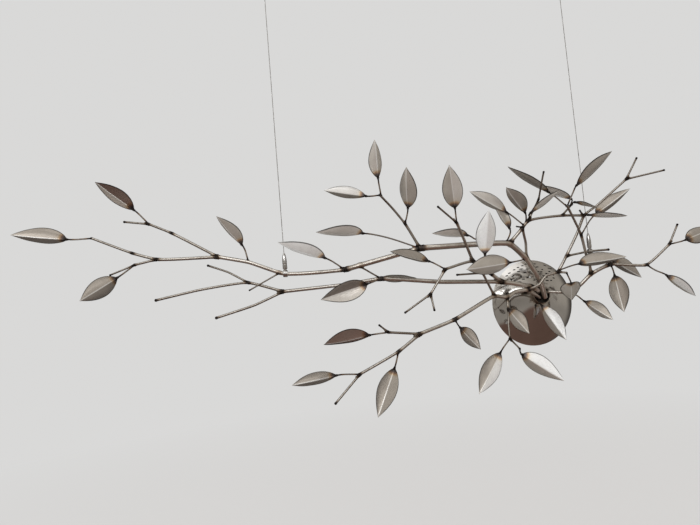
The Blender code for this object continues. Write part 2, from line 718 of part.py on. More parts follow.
def build_cable(name, place, top):
    """One taut cable with its gripper on a rod and its ceiling fitting."""
    centre, along, radius = spot_on(place)
    bore = radius + CLAMP_GAP
    outer = bore + CLAMP_WALL
    side = side_vector(along)
    rings = []
    for radius, shift in ((bore, -1), (outer, -1), (outer, 1), (bore, 1)):
        middle = centre + along * (shift * CLAMP_WIDTH / 2)
        rings.append(square_ring(middle, along, side, radius, CLAMP_SIDES))
    body = bmesh.new()
    rows = [[body.verts.new(point * MM) for point in ring] for ring in rings]
    for row, ahead in zip(rows, rows[1:] + rows[:1]):
        for k in range(CLAMP_SIDES):
            following = (k + 1) % CLAMP_SIDES
            body.faces.new((row[k], row[following], ahead[following], ahead[k]))
    clamp = finish("gripper_" + name, body)
    foot = centre + Vector((0, 0, outer - BARREL_SINK))
    nose_top = GRIPPER_BARREL + GRIPPER_NOSE
    barrel = upright_turning("barrel", foot, [
        (0, GRIPPER_RADIUS * 0.8), (2.5, GRIPPER_RADIUS), (GRIPPER_BARREL, GRIPPER_RADIUS),
        (GRIPPER_BARREL + GRIPPER_NOSE * 0.6, GRIPPER_RADIUS * 0.72), (nose_top, GRIPPER_RADIUS * 0.42)])
    union = clamp.modifiers.new("weld", 'BOOLEAN')
    union.operation = 'UNION'
    union.object = barrel
    bake(clamp, [barrel])
    dress(clamp, (0.62, 0.62, 0.63), 0.16)

    low = foot + Vector((0, 0, nose_top + FIT_GAP))
    curve = bpy.data.curves.new("cable_" + name, 'CURVE')
    curve.dimensions = '3D'
    curve.bevel_depth = CABLE_DIAMETER / 2 * MM
    curve.bevel_resolution = 2
    curve.use_fill_caps = True
    line = curve.splines.new('POLY')
    line.points.add(1)
    line.points[0].co = (*(low * MM), 1)
    line.points[1].co = (low.x * MM, low.y * MM, (top - FIT_GAP) * MM, 1)
    cable = bpy.data.objects.new("cable_" + name, curve)
    bpy.context.scene.collection.objects.link(cable)
    cable.data.materials.append(steel("cable_" + name + "_steel", (0.55, 0.55, 0.56), 0.3))

    seat = Vector((low.x, low.y, top))
    fitting = upright_turning("ceiling_fitting_" + name, seat, [
        (0, FITTING_RADIUS * 0.45), (FITTING_HEIGHT * 0.35, FITTING_RADIUS * 0.5),
        (FITTING_HEIGHT * 0.55, FITTING_RADIUS), (FITTING_HEIGHT, FITTING_RADIUS)])
    dress(fitting, (0.60, 0.60, 0.61), 0.2)


# ---------------------------------------------------------------- assembly


def build():
    """Build the whole sculpture."""
    for old in list(bpy.data.objects):
        bpy.data.objects.remove(old)
    build_upper_bough()
    build_left_fork()
    build_middle_bough()
    build_spur()
    build_high_twig()
    build_lower_bough()
    build_drop_twig()
    build_right_bough()
    build_crossing_stem()
    build_crown()
    build_leaves()
    build_dome()
    build_back_plate()
    build_socket()
    build_cable("left", ("upper", 10, -3), CABLE_TOP_LEFT)
    build_cable("right", ("clamp_twig", 1, 3), CABLE_TOP_RIGHT)


build()
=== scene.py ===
"""Looks of the metal branch: round bar boughs, folded sheet leaves and a polished wall dome.

The wall is the plane y = 0 and the branch stands out of it towards -y.  The origin is the
centre of the flat back of the wall plate.  Lengths in the plan are millimetres.  A rod runs
from joint to joint, and every step is (length, heading, lean):
heading is the direction along the wall in degrees, 0 to the right and 90 up,
lean is the angle out of the wall in degrees.
"""
import math

import bmesh
import bpy
import numpy
from mathutils import Matrix, Vector, noise


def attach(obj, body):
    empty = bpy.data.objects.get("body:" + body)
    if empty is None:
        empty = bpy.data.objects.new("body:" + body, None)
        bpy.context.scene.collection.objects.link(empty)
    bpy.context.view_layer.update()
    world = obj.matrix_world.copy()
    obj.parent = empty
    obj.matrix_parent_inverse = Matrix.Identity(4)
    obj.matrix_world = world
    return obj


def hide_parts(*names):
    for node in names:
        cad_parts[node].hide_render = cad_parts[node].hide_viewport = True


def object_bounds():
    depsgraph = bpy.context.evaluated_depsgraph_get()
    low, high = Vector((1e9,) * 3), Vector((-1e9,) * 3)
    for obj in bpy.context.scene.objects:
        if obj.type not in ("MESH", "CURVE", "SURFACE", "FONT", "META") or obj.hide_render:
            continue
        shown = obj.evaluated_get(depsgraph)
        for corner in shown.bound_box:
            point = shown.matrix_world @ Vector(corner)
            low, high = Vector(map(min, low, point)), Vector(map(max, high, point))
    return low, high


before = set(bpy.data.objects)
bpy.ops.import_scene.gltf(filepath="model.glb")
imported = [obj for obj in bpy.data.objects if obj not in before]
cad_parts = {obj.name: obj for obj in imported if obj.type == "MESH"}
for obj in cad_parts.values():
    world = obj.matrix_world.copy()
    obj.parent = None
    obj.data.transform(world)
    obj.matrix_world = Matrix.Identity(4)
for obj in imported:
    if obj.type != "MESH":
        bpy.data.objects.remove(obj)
cad_low, cad_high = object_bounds()

MM = 0.001

# ---------------------------------------------------------------- camera and stage

CAMERA_PLACE = (-0.6598, -1.2769, 0.0176)
CAMERA_YAW = 10.39          # degrees, turned to the right
CAMERA_PITCH = 4.69         # degrees, tilted up
CAMERA_ROLL = 4.84          # degrees, leaning clockwise
CAMERA_LENS = 30

BACKGROUND = (0.695, 0.692, 0.685)
FLOOR_DROP = 0.50           # metres from the lowest leaf to the floor
FLOOR_REACH = 60            # metres from the middle of the floor to its edges
FLOOR_COLOR = (0.62, 0.61, 0.60)

# the room that the metal reflects
ROOM_FRONT = (0.30, 0.272, 0.240)
ROOM_SIDES = (0.43, 0.39, 0.34)
ROOM_CORNERS = (0.20, 0.18, 0.16)
ROOM_BACK = (0.075, 0.066, 0.058)
CEILING_LEFT = (0.92, 0.88, 0.82)
CEILING_RIGHT = (0.42, 0.38, 0.33)
PALE_GROUND = (0.34, 0.31, 0.275)
BROWN_BOARDS = (0.150, 0.092, 0.072)
SOFT_LIGHT = (1.06, 1.06, 1.06)


def add_to_scene(name, data):
    """New object for a mesh, a light or a camera, in the scene."""
    made = bpy.data.objects.new(name, data)
    bpy.context.scene.collection.objects.link(made)
    return made


def build_camera():
    """Camera in front of the left part of the branch, a little below the boughs."""
    data = bpy.data.cameras.new("camera")
    data.lens = CAMERA_LENS
    data.sensor_width = 36
    camera = add_to_scene("camera", data)
    turn = (Matrix.Rotation(-math.radians(CAMERA_YAW), 3, 'Z')
            @ Matrix.Rotation(math.radians(CAMERA_PITCH), 3, 'X'))
    right, ahead, up = turn.col[0], turn.col[1], turn.col[2]
    roll = math.radians(CAMERA_ROLL)
    leaning_right = right * math.cos(roll) - up * math.sin(roll)
    leaning_up = right * math.sin(roll) + up * math.cos(roll)
    basis = Matrix((leaning_right, leaning_up, -ahead)).transposed()
    camera.matrix_world = Matrix.Translation(CAMERA_PLACE) @ basis.to_4x4()
    bpy.context.scene.camera = camera


def feed(tree, value, socket):
    """Set a socket to a number, a colour or a word, or link it to another socket."""
    if isinstance(value, bpy.types.NodeSocket):
        tree.links.new(value, socket)
    elif socket.type == 'RGBA':
        socket.default_value = (*value, 1)
    else:
        socket.default_value = value


def node(tree, kind, inputs=None, **settings):
    """New node with its properties set and its inputs fed, by their names or their numbers."""
    made = tree.nodes.new(kind)
    for name, value in settings.items():
        setattr(made, name, value)
    for name, value in (inputs or {}).items():
        feed(tree, value, made.inputs[name])
    return made


def color_ramp(tree, factor, stops):
    """Colour ramp fed by a socket; stops are (position, grey or colour)."""
    ramp = node(tree, "ShaderNodeValToRGB", {"Fac": factor})
    elements = ramp.color_ramp.elements
    while len(elements) > 1:
        elements.remove(elements[-1])
    for i, (position, value) in enumerate(stops):
        color = (value, value, value) if isinstance(value, (int, float)) else value
        element = elements[0] if i == 0 else elements.new(position)
        element.position = position
        element.color = (*color, 1)
    return ramp.outputs["Color"]


def arithmetic(tree, operation, *operands, clamp=False):
    """Math node; each operand is a socket or a number."""
    return node(tree, "ShaderNodeMath", dict(enumerate(operands)),
                operation=operation, use_clamp=clamp).outputs[0]


def blend(tree, share, first, second, mode='MIX'):
    """Mix two colours; each is a socket or a colour."""
    made = node(tree, "ShaderNodeMix", data_type='RGBA', blend_type=mode)
    sockets = {socket.identifier: socket for socket in [*made.inputs, *made.outputs]}
    for name, value in (("Factor_Float", share), ("A_Color", first), ("B_Color", second)):
        feed(tree, value, sockets[name])
    return sockets["Result_Color"]


def choose(tree, share, first, second):
    """Mix two shaders."""
    return node(tree, "ShaderNodeMixShader", {0: share, 1: first, 2: second}).outputs[0]


def build_world():
    """Soft showroom: dim in front, lighter at the sides and above, warm brown boards below."""
    world = bpy.data.worlds.new("studio")
    bpy.context.scene.world = world
    world.use_nodes = True
    tree = world.node_tree
    tree.nodes.clear()
    ray = node(tree, "ShaderNodeTexCoord").outputs["Generated"]
    x, y, z = node(tree, "ShaderNodeSeparateXYZ", {0: ray}).outputs

    def between(value, start, end):
        """Soft step from 0 at the start to 1 at the end."""
        limits = {"Value": value, "From Min": start, "From Max": end}
        return node(tree, "ShaderNodeMapRange", limits, interpolation_type='SMOOTHSTEP').outputs[0]

    def side_of(normal, softness):
        """1 on one side of a plane through the middle of the room, 0 on the other."""
        facing = node(tree, "ShaderNodeVectorMath", {0: ray, 1: normal}, operation='DOT_PRODUCT')
        return between(facing.outputs["Value"], -softness, softness)

    level = blend(tree, between(y, -0.95, -0.1), ROOM_FRONT, ROOM_SIDES)
    level = blend(tree, between(y, 0.05, 0.40), level, ROOM_CORNERS)
    ceiling = blend(tree, between(x, -0.45, 0.5), CEILING_LEFT, CEILING_RIGHT)
    boards = arithmetic(tree, 'MULTIPLY', side_of((-0.513, -0.082, -0.821), 0.10),
                        side_of((0.539, 0.162, -0.756), 0.07))
    below = blend(tree, boards, PALE_GROUND, BROWN_BOARDS)
    room = blend(tree, between(z, 0.12, 0.5), level, ceiling)
    room = blend(tree, between(z, -0.02, -0.22), room, below)
    room = blend(tree, between(y, -0.02, 0.42), room, ROOM_BACK)
    reflected, soft, shown = [node(tree, "ShaderNodeBackground", {"Color": color}).outputs[0]
                              for color in (room, SOFT_LIGHT, BACKGROUND)]
    path = node(tree, "ShaderNodeLightPath").outputs
    lit = choose(tree, path["Is Diffuse Ray"], reflected, soft)
    node(tree, "ShaderNodeOutputWorld", {"Surface": choose(tree, path["Is Camera Ray"], lit, shown)})


def build_floor():
    """Plain pale floor that melts into the background in the distance."""
    height = cad_low.z - FLOOR_DROP
    corners = [(-1, -1), (1, -1), (1, 1), (-1, 1)]
    mesh = bpy.data.meshes.new("floor")
    mesh.from_pydata([(x * FLOOR_REACH, y * FLOOR_REACH, height) for x, y in corners], [], [(0, 1, 2, 3)])
    floor = add_to_scene("floor", mesh)
    material = bpy.data.materials.new("pale_floor")
    material.use_nodes = True
    tree = material.node_tree
    tree.nodes.clear()
    place = node(tree, "ShaderNodeTexCoord").outputs["Object"]
    distance = node(tree, "ShaderNodeVectorMath", {0: place}, operation='LENGTH').outputs["Value"]
    far = color_ramp(tree, arithmetic(tree, 'MULTIPLY', distance, 0.25), [(0.22, 0.0), (0.8, 1.0)])
    matt = node(tree, "ShaderNodeBsdfDiffuse", {"Color": FLOOR_COLOR}).outputs[0]
    glow = node(tree, "ShaderNodeEmission", {"Color": BACKGROUND}).outputs[0]
    node(tree, "ShaderNodeOutputMaterial", {"Surface": choose(tree, far, matt, glow)})
    mesh.materials.append(material)
    floor.visible_glossy = False


def build_light(name, place, target, width, height, power):
    """Soft rectangular light that looks at a point."""
    data = bpy.data.lights.new(name, 'AREA')
    data.shape = 'RECTANGLE'
    data.size = width
    data.size_y = height
    data.energy = power
    light = add_to_scene(name, data)
    light.location = place
    light.rotation_euler = (Vector(target) - Vector(place)).to_track_quat('-Z', 'Y').to_euler()


def build_stage():
    """Camera, floor, surroundings and lights."""
    bpy.context.scene.view_settings.view_transform = 'Standard'
    build_camera()
    build_world()
    build_floor()
    build_light("ceiling_light", (-0.2, -0.7, 2.3), (-0.35, 0, 0.1), 1.8, 0.9, 3.5)
    build_light("window_light", (-1.1, -1.95, 1.0), (-0.3, 0, 0.1), 2.4, 0.42, 9)


# ---------------------------------------------------------------- plan of the branch

SPACING = 50.0              # facet length of the CAD rods, which sets where the sliding spots lie
TURN_STEP = 19.0            # most degrees that one of those facets turns
BEND = 0.5                  # a bar is nearly straight between its joints: 1 would be a full arc
TAPER = 10.0                # a thinner stretch is drawn down from the thicker one over this length
SOCKET_HEIGHT = 16.4
SOCKET_RADIUS = 20.0
LOW_LEAF_HEADING = 250.0
LOW_LEAF_DEPTH = 45.0

BOUGHS = {
    "upper_bough": [
        ("upper", (7.3, -47, 10.6), 12,
         (39.6, 118.2, 32.1), (81, 130, 25), (54, 139, 10), (43.7, 175.6, 0), (112, 180, 0),
         (43, 180, -5), (54.8, 191.4, -4.1, 10.6), (80.1, 191.4, -4.1), (29.5, 191.4, -4.1),
         (125.1, 179.4, -4.8, 8), (74.9, 157.4, -4.9, 7.6), (64, 165, -10)),
        ("upper_thin_twig", ("upper", 10, 8), 3, (72, 206, -5)),
        ("upper_tie", ("upper", 8), 3.4, (47.2, 325.8, 1.7)),
    ],
    "left_fork": [
        ("left_low", ("upper", 12), 6.4,
         (121, 178, -5), (51, 161, -10, 5.6), (86, 155, -5, 4.8)),
        ("left_high", ("upper", 12), 5.6,
         (105, 148, -5), (48, 154, 0, 4.8)),
        ("left_hanging", ("left_low", 1), 4.6, (44, 191, 0)),
        ("left_high_twig", ("left_high", 2), 4, (51, 170, -10)),
        ("left_hanging_twig", ("left_hanging", 1), 3.4, (52, 199, -5)),
    ],
    "middle_bough": [
        ("middle", (-7.2, -44.8, 23.6), 9.4,
         (18.3, 156.4, 62.3), (18.3, 148.1, 6.2), (37, 169, 21.4, 10), (46, 169, 5), (143.8, 176, 5, 9),
         (129.3, 172.9, 0), (66, 185, 0, 8), (138, 182, -5, 7)),
        ("middle_prong", ("middle", 8), 5.6,
         (73, 161, -5), (97, 184, -5, 5), (90, 189, -5)),
        ("middle_prong_high", ("middle_prong", 1), 4,
         (48, 147, -15), (44, 157, -5)),
        ("middle_prong_low", ("middle", 8), 5,
         (63, 201, -5), (82, 194, -5)),
    ],
    "spur": [
        ("spur_foot", ("middle", 4), 8,
         (38, 145, 20), (55, 149, 20, 7), (69, 191, 10, 5.6)),
        ("spur_up", ("spur_foot", 2), 6, (45, 118, 25), (50, 115, 15)),
        ("spur_up_twig", ("spur_up", 2), 4, (54, 140, 10)),
        ("spur_down", ("spur_foot", 3), 5, (61, 233, 0)),
        ("spur_down_left", ("spur_down", 1), 4, (66, 211, -5)),
        ("spur_down_right", ("spur_down", 1), 4, (35, 275, 10)),
    ],
    "high_twig": [
        ("high", ("upper", 6), 5.6, (60.4, 118.7, 4.8), (43, 127, 5, 4.6), (37, 133, 10)),
    ],
    "lower_bough": [
        ("lower", (-5, -45.2, 10.6), 8,
         (21.7, 151.7, 33), (26.6, 154.5, 24.3), (33.2, 183, 8), (28, 202, 20), (37, 173, 20),
         (73, 201, 15), (42, 203, 10), (86, 195, 10, 7.4)),
        ("lower_high_fork", ("lower", 8), 5, (69, 172, 10)),
        ("lower_high_twig", ("lower_high_fork", 1), 3.6, (24, 138, 0)),
        ("lower_low_fork", ("lower", 8), 6.4, (59, 211, 10), (89, 204, 0, 5.4)),
        ("lower_low_twig", ("lower_low_fork", 2), 4.4, (74, 223, 5)),
        ("lower_riser", ("lower", 5), 5, (60, 119, 15)),
        ("lower_riser_twig", ("lower_riser", 1), 4, (60, 180, 5)),
    ],
    "drop_twig": [
        ("drop_arm", ("lower", 4), 4.6, (26, 265, 10)),
        ("drop", ("drop_arm", 1), 4, (37, 257, 15), (30, 260, 20)),
        ("drop_foot", ("drop", 2), 3.6, (28, 306, 15)),
    ],
    "right_bough": [
        ("right", (12.8, -42.4, 20.6), 6.4,
         (15.7, 60.3, 84.1), (36.3, 352.4, 28.6), (32, 26, 25, 8), (34, 44, 20), (43, 26, 25),
         (76, 354, 20, 6), (65, 39, 15, 5)),
        ("right_twig", ("right", 7), 4, (48, 62, 5)),
        ("right_climb", ("right", 4), 6,
         (19, 101, 15), (30, 112, 15), (44, 105, 10), (78, 124, 20, 5)),
    ],
    "crossing_stem": [
        ("crossing", ("lower", 2), 5.4,
         (26.8, 24.4, 31.5), (25.4, 47.2, 7.9), (26.8, 13.7, 9), (40, 57, 10, 6), (57, 61, 10),
         (41, 68, 15), (31, 38, 30, 5), (83, 40, 20, 4.6)),
        ("crossing_end_high", ("crossing", 8), 3.8, (50, 63, 15)),
        ("crossing_end_low", ("crossing", 8), 3.8, (79, 8, 20)),
        ("clamp_twig", ("crossing", 4), 4.6, (51, 7, 10), (47, 1, 5)),
        ("shield_twig", ("crossing", 3), 4.6, (19, 347, 35)),
    ],
    "crown": [
        ("crown_riser", ("upper", 2), 5.4,
         (35, 91, 10), (36, 105, 20), (17, 49, 15, 6.4), (77, 5, 5, 5.4), (56, 358, -5)),
        ("crown_lead", ("upper", 3), 7, (43, 46, 10)),
        ("crown_stub", ("crown_riser", 2), 3, (16, 170, 5)),
        ("crown_twig", ("crown_riser", 4), 4, (46, 35, -21)),
        ("crown_tip", ("crown_riser", 5, -3), 3.4, (16, 133, 20)),
        ("crown_pin", ("crown_riser", 3), 4.4,
         (18, 61, 9), (37.5, 80, 48), (32.5, 98, 42, 3.6), (30, 83, 23)),
    ],
}

# name, where its stem springs from, stem steps, blade (heading, lean), pattern, fold, roll,
# painted light and shade of the left and the right half as seen from the stem, standing in for reflection
LEAVES = [
    ("tail", ("left_low", 3), [(47, 179, 0)], (172, 4), "large", 46, 24, ("dark", "dull")),
    ("left_top", ("left_high_twig", 0), [(41, 132, 0)], (140, 8), "middle", -45, -15, ("grey", "brown")),
    ("left_bottom", ("left_hanging_twig", 0), [(41, 215, 5)], (217, 37), "middle", 30, 15, ("dark", "dull")),
    ("left_upright", ("upper", 11), [(38, 107, 0)], (129, 21), "small", 40, 50, ("grey", "grey")),
    ("cable_left", ("upper", 9), [(48.2, 147.3, 9.2)], (159, 9), "large", 26, 65, ("white", "bright")),
    ("arch_left", ("upper", 6), [(83, 160, 5), (43.6, 168.2, 4.4)],
     (177, 12), "large", 25, 70, ("pale", "pale")),
    ("high_left", ("high", 3), [(30, 182, 5)], (172, 11), "middle", 55, 25, ("dull", "bright")),
    ("high_top", ("high", 3, -4), [(38.5, 97.3, 9.1)], (97, 25), "small", 43, -2, ("pale", "grey")),
    ("high_low", ("high", 1), [(33, 78, 15)], (98, 34), "middle", 25, 45, ("grey", "grey")),
    ("spur_back", ("spur_down", 0), [(37.3, 148.5, -9.7)], (164, 11), "middle", -25, -50, ("dull", "dull")),
    ("spur_top", ("spur_up_twig", 0), [(30, 95, 10)], (101, 22), "middle", 15, 20, ("grey", "pale")),
    ("arch_middle", ("upper", 4), [(36, 162, 5), (18.8, 152.9, 9.6)],
     (173, -2), "small", 25, 70, ("bright", "pale")),
    ("riser_front", ("lower_riser_twig", 0), [(25, 85, 25), (16, 88, 20)],
     (95, 34), "large", 30, 15, ("white", "bright")),
    ("arch_front", ("upper", 2), [(50.3, 187.3, 21.2)], (185, 14), "longest", 35, 15, ("grey", "grey")),
    ("middle_back", ("middle", 6), [(11.7, 47.7, -65.9)], (354, 1), "small", -15, -70, ("grey", "grey")),
    ("middle_front", ("middle", 6), [(36, 196, 20)], (194, 4), "large", -30, 10, ("pale", "dark")),
    ("fork_high", ("lower_high_twig", 0), [(38, 183, 0)], (185, 19), "large", -35, -55, ("brown", "brown")),
    ("fork_middle", ("lower_low_twig", 0), [(48, 176, 10)], (185, 12), "middle", 56, 5, ("dark", "dull")),
    ("fork_low", ("lower_low_fork", 1), [(33, 249, 5)], (241, 16), "large", 35, -15, ("grey", "dull")),
    ("lower_small", ("lower", 7), [(20, 293, 20)], (298, 38), "tiny", 20, -40, ("dark", "dark")),
    ("drop_left", ("drop_foot", 0), [(40, 222, 15)], (230, 12), "large", 35, -15, ("bright", "dull")),
    ("drop_right", ("drop_foot", 1), [(12.8, 278.5, 14.5)], (322, 11), "large", 35, -25, ("white", "grey")),
    ("drop_small", ("drop", 0, 2.5), [(11.6, 160.3, 66.3)], (284, 47), "small", 30, -45, ("dull", "grey")),
    ("socket_low", None, [(13.1, 251.4, 66.6)], (279, 41), "large", 45, -45, ("white", "grey")),
    ("shield", ("shield_twig", 1), [(25, 279.1, 16.3)], (215, 52), "large", -28, -68, ("grey", "grey")),
    ("right_low_inner", ("right", 2), [(21, 333, 30), (22, 314, 15)],
     (298, 52), "small", 45, -50, ("grey", "grey")),
    ("right_low_middle", ("right", 5), [(5, 300, 35), (21, 278, 10)],
     (259, 26), "middle", 20, -48, ("dark", "grey")),
    ("right_back", ("right", 5), [(18, 41, -20)], (330, -9), "middle", 50, -40, ("dull", "dark")),
    ("centre_right", ("crossing", 3, 4), [(54.2, 21.5, 64.8)], (4, 0), "longest", 55, -20, ("grey", "dark")),
    ("right_low_outer", ("right", 6), [(21, 319, 15), (26, 330, 10)],
     (320, 4), "small", 20, -85, ("bright", "grey")),
    ("right_end", ("right_twig", 0), [(39.2, 10.4, 5.1)], (16, 1), "small", 15, 20, ("dull", "dull")),
    ("climb_top", ("right_climb", 4), [(32, 66, 15), (15, 62, 15)],
     (38, 2), "longest", 21, -55, ("dull", "dull")),
    ("climb_right", ("right_climb", 3), [(68.1, 42.6, -9.7)], (31, 3), "large", 55, -5, ("dull", "dark")),
    ("crown_end", ("crown_riser", 5), [(8, 357, 50)], (355, 4), "middle", 15, -90, ("pale", "grey")),
    ("climb_left", ("right_climb", 4, -3), [(54.4, 140.4, 1.9)],
     (144, -4), "large", 16, 98, ("dull", "dull")),
    ("twig_left", ("crown_twig", 1, -7), [(18, 70, -6)], (153, -8), "middle", 15, 90, ("bright", "pale")),
    ("crown_left", ("crown_riser", 2, 5), [(49.5, 142.5, 5.2)], (154, 15), "large", 55, 40, ("grey", "pale")),
    ("crown_top", ("crown_riser", 3, -5), [(21.7, 97.8, 13.8)],
     (142, 32), "middle", 40, 60, ("dull", "dull")),
    ("crown_back", ("upper", 3, 7), [(33, 75, 10)], (111, -15), "tiny", 35, 75, ("grey", "grey")),
    ("pin_front", ("crown_pin", 0, 9), [(28.1, 151.2, 65)], (34, 11), "small", 15, -65, ("pale", "grey")),
    ("twig_right", ("crown_twig", 1), [(9, 42, 30)], (336, 26), "bud", 15, -90, ("grey", "grey")),
]

# length and flat width of the six cutting patterns
LEAF_SIZES = {
    "bud": (46, 23),
    "tiny": (64, 32),
    "small": (78, 38),
    "middle": (90, 43),
    "large": (102, 47),
    "longest": (114, 51),
}

rods = {}                   # every rod's joints and radii, by rod name
welds = []                  # (point, radius of the black core, reach of the tint) of every weld


def direction(heading, lean):
    """Unit vector of a heading along the wall and a lean out of it, both in degrees."""
    along = math.radians(heading)
    out = math.radians(lean)
    return Vector((math.cos(along) * math.cos(out), -math.sin(out), math.sin(along) * math.cos(out)))


class Rod:
    """A bent rod: joints joined by a smooth curve, each stretch with its own diameter."""

    def __init__(self, start, steps, diameter):
        self.joints = [Vector(start)]
        self.sizes = []
        for step in steps:
            length, heading, lean = step[:3]
            diameter = step[3] if len(step) > 3 else diameter
            self.joints.append(self.joints[-1] + direction(heading, lean) * length)
            self.sizes.append(diameter / 2)
        self.end_direction = None

    def tangent(self, number):
        """Direction of the rod at a joint."""
        last = len(self.joints) - 1
        before = self.joints[number] - self.joints[max(number - 1, 0)]
        after = self.joints[min(number + 1, last)] - self.joints[number]
        if number == 0:
            return after.normalized()
        if number == last:
            return self.end_direction or before.normalized()
        return (before.normalized() + after.normalized()).normalized()

    def radius(self, number):
        """Radius at a joint: the thicker of the stretches that meet there."""
        return max(self.sizes[max(number - 1, 0):number + 1])

    def rings(self, spacing, turn_step, arc=BEND):
        """Centre, direction and radius of every ring along the rod."""
        out = []
        for i, radius in enumerate(self.sizes):
            start, end = self.joints[i], self.joints[i + 1]
            leave, arrive = self.tangent(i), self.tangent(i + 1)
            length = (end - start).length
            pull = length * arc
            bend = math.degrees(leave.angle(arrive))
            count = max(1, math.ceil(length / spacing), math.ceil(bend / turn_step))
            before = self.sizes[i - 1] if i else radius
            for k in range(0 if i == 0 else 1, count + 1):
                t = k / count
                share = min(t * length / TAPER, 1)
                size = before + (radius - before) * share * share * (3 - 2 * share)
                out.append(hermite(start, end, leave * pull, arrive * pull, t) + (size,))
        return out


def hermite(start, end, leave, arrive, t):
    """Point and direction on the smooth curve between two joints."""
    t2, t3 = t * t, t * t * t
    point = (start * (2 * t3 - 3 * t2 + 1) + leave * (t3 - 2 * t2 + t)
             + end * (3 * t2 - 2 * t3) + arrive * (t3 - t2))
    slope = (start * (6 * t2 - 6 * t) + leave * (3 * t2 - 4 * t + 1)
             + end * (6 * t - 6 * t2) + arrive * (3 * t2 - 2 * t))
    return point, slope.normalized()


def spot_on(place):
    """Point, direction and radius on a rod: (rod, joint) or (rod, joint, slide along it)."""
    name, number = place[:2]
    parent = rods[name]
    joint = parent.joints[number]
    if len(place) == 2:
        return joint, parent.tangent(number), parent.radius(number)
    slide = place[2]
    ahead = parent.joints[number + (1 if slide > 0 else -1)]
    target = joint + (ahead - joint).normalized() * abs(slide)
    stations = parent.rings(SPACING, TURN_STEP)
    best = None
    for (start, _, radius), (end, _, _) in zip(stations, stations[1:]):
        facet = end - start
        share = min(max((target - start).dot(facet) / facet.length_squared, 0), 1)
        point = start + facet * share
        if best is None or (target - point).length < best[0]:
            best = ((target - point).length, point, facet.normalized(), radius)
    return best[1:]


# ---------------------------------------------------------------- mesh helpers


def square_ring(centre, axis, side, radius, sides):
    """Points of a round ring square to the axis."""
    up = side.cross(axis)
    ring = []
    for k in range(sides):
        turn = 2 * math.pi * k / sides
        ring.append(centre + side * (radius * math.cos(turn)) + up * (radius * math.sin(turn)))
    return ring


def sides_along(axes):
    """Sideways direction at every ring, carried along a rod without a twist."""
    side = axes[0].orthogonal().normalized()
    for axis in axes:
        side = (side - axis * side.dot(axis)).normalized()
        yield side


def loft(name, rings, closed_loop=False):
    """Closed mesh object through rings of points in millimetres."""
    body = bmesh.new()
    rows = [[body.verts.new(point * MM) for point in ring] for ring in rings]
    count = len(rows[0])
    pairs = list(zip(rows, rows[1:]))
    if closed_loop:
        pairs.append((rows[-1], rows[0]))
    for lower, upper in pairs:
        for k in range(count):
            following = (k + 1) % count
            body.faces.new((lower[k], lower[following], upper[following], upper[k]))
    if not closed_loop:
        body.faces.new(reversed(rows[0]))
        body.faces.new(rows[-1])
    if body.calc_volume(signed=True) < 0:
        bmesh.ops.reverse_faces(body, faces=body.faces)
    mesh = bpy.data.meshes.new(name)
    body.to_mesh(mesh)
    body.free()
    return add_to_scene(name, mesh)


def baked(piece):
    """Plain mesh of a piece with its modifiers applied."""
    graph = bpy.context.evaluated_depsgraph_get()
    mesh = bpy.data.meshes.new_from_object(piece.evaluated_get(graph))
    piece.modifiers.clear()
    return mesh


def boolean(piece, others, operation):
    """Join closed bodies to a piece, or cut them out of it."""
    for other in others:
        step = piece.modifiers.new("boolean", 'BOOLEAN')
        step.operation = operation
        step.solver = 'MANIFOLD'
        step.object = other
    piece.data = baked(piece)
    for other in others:
        bpy.data.objects.remove(other)


def melted_together(name, shells):
    """One closed body from overlapping shells."""
    base = shells[0]
    base.name = name
    boolean(base, shells[1:], 'UNION')
    return base


def points_of(mesh):
    """The mesh's points as an array in millimetres."""
    flat = numpy.empty(len(mesh.vertices) * 3)
    mesh.vertices.foreach_get("co", flat)
    return flat.reshape(-1, 3) / MM


def paint(mesh, name, values):
    """Store one number at every point for the material to read."""
    layer = mesh.attributes.new(name, 'FLOAT', 'POINT')
    layer.data.foreach_set("value", numpy.asarray(values, dtype=numpy.float32))


def scorch_at(points, spots):
    """How hot each point got: 1 in the core of a weld, fading to 0 over its reach."""
    heat = numpy.zeros(len(points))
    for spot, core, reach in spots:
        distance = numpy.linalg.norm(points - numpy.array(spot), axis=1)
        outside = numpy.maximum(distance - core, 0)
        heat = numpy.maximum(heat, numpy.exp(-(outside / reach) ** 1.3))
    return heat


def finished(piece, node_name, material, sharp=38):
    """Shade a piece, give it its material, and let it stand for its CAD node."""
    mesh = piece.data
    mesh.shade_smooth()
    mesh.set_sharp_from_angle(angle=math.radians(sharp))
    mesh.materials.clear()
    mesh.materials.append(material)
    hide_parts(node_name)
    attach(piece, "root")
    return piece


# ---------------------------------------------------------------- metals

HOT_DULLING = 0.3           # roughness added where the metal was hottest


def new_metal(name, roughness):
    """Metal material with its node tree and its shader."""
    material = bpy.data.materials.new(name)
    material.use_nodes = True
    tree = material.node_tree
    shader = tree.nodes["Principled BSDF"]
    shader.inputs["Metallic"].default_value = 1.0
    shader.inputs["Roughness"].default_value = roughness
    return material, tree, shader


def pattern(tree, scale, detail=3.0, roughness=0.5):
    """Noise on the piece's own coordinates, in features per metre."""
    place = node(tree, "ShaderNodeTexCoord").outputs["Object"]
    return node(tree, "ShaderNodeTexNoise", {"Vector": place, "Scale": scale, "Detail": detail,
                                             "Roughness": roughness}).outputs["Fac"]


def painted(tree, name):
    """The number stored at every point under a name."""
    return node(tree, "ShaderNodeAttribute", attribute_name=name).outputs["Fac"]


def bump(tree, shader, height, distance, strength):
    """Relief from a height pattern, chained after any relief that is already there."""
    relief = node(tree, "ShaderNodeBump", {"Distance": distance, "Strength": strength, "Height": height})
    if shader.inputs["Normal"].is_linked:
        tree.links.new(shader.inputs["Normal"].links[0].from_socket, relief.inputs["Normal"])
    tree.links.new(relief.outputs[0], shader.inputs["Normal"])


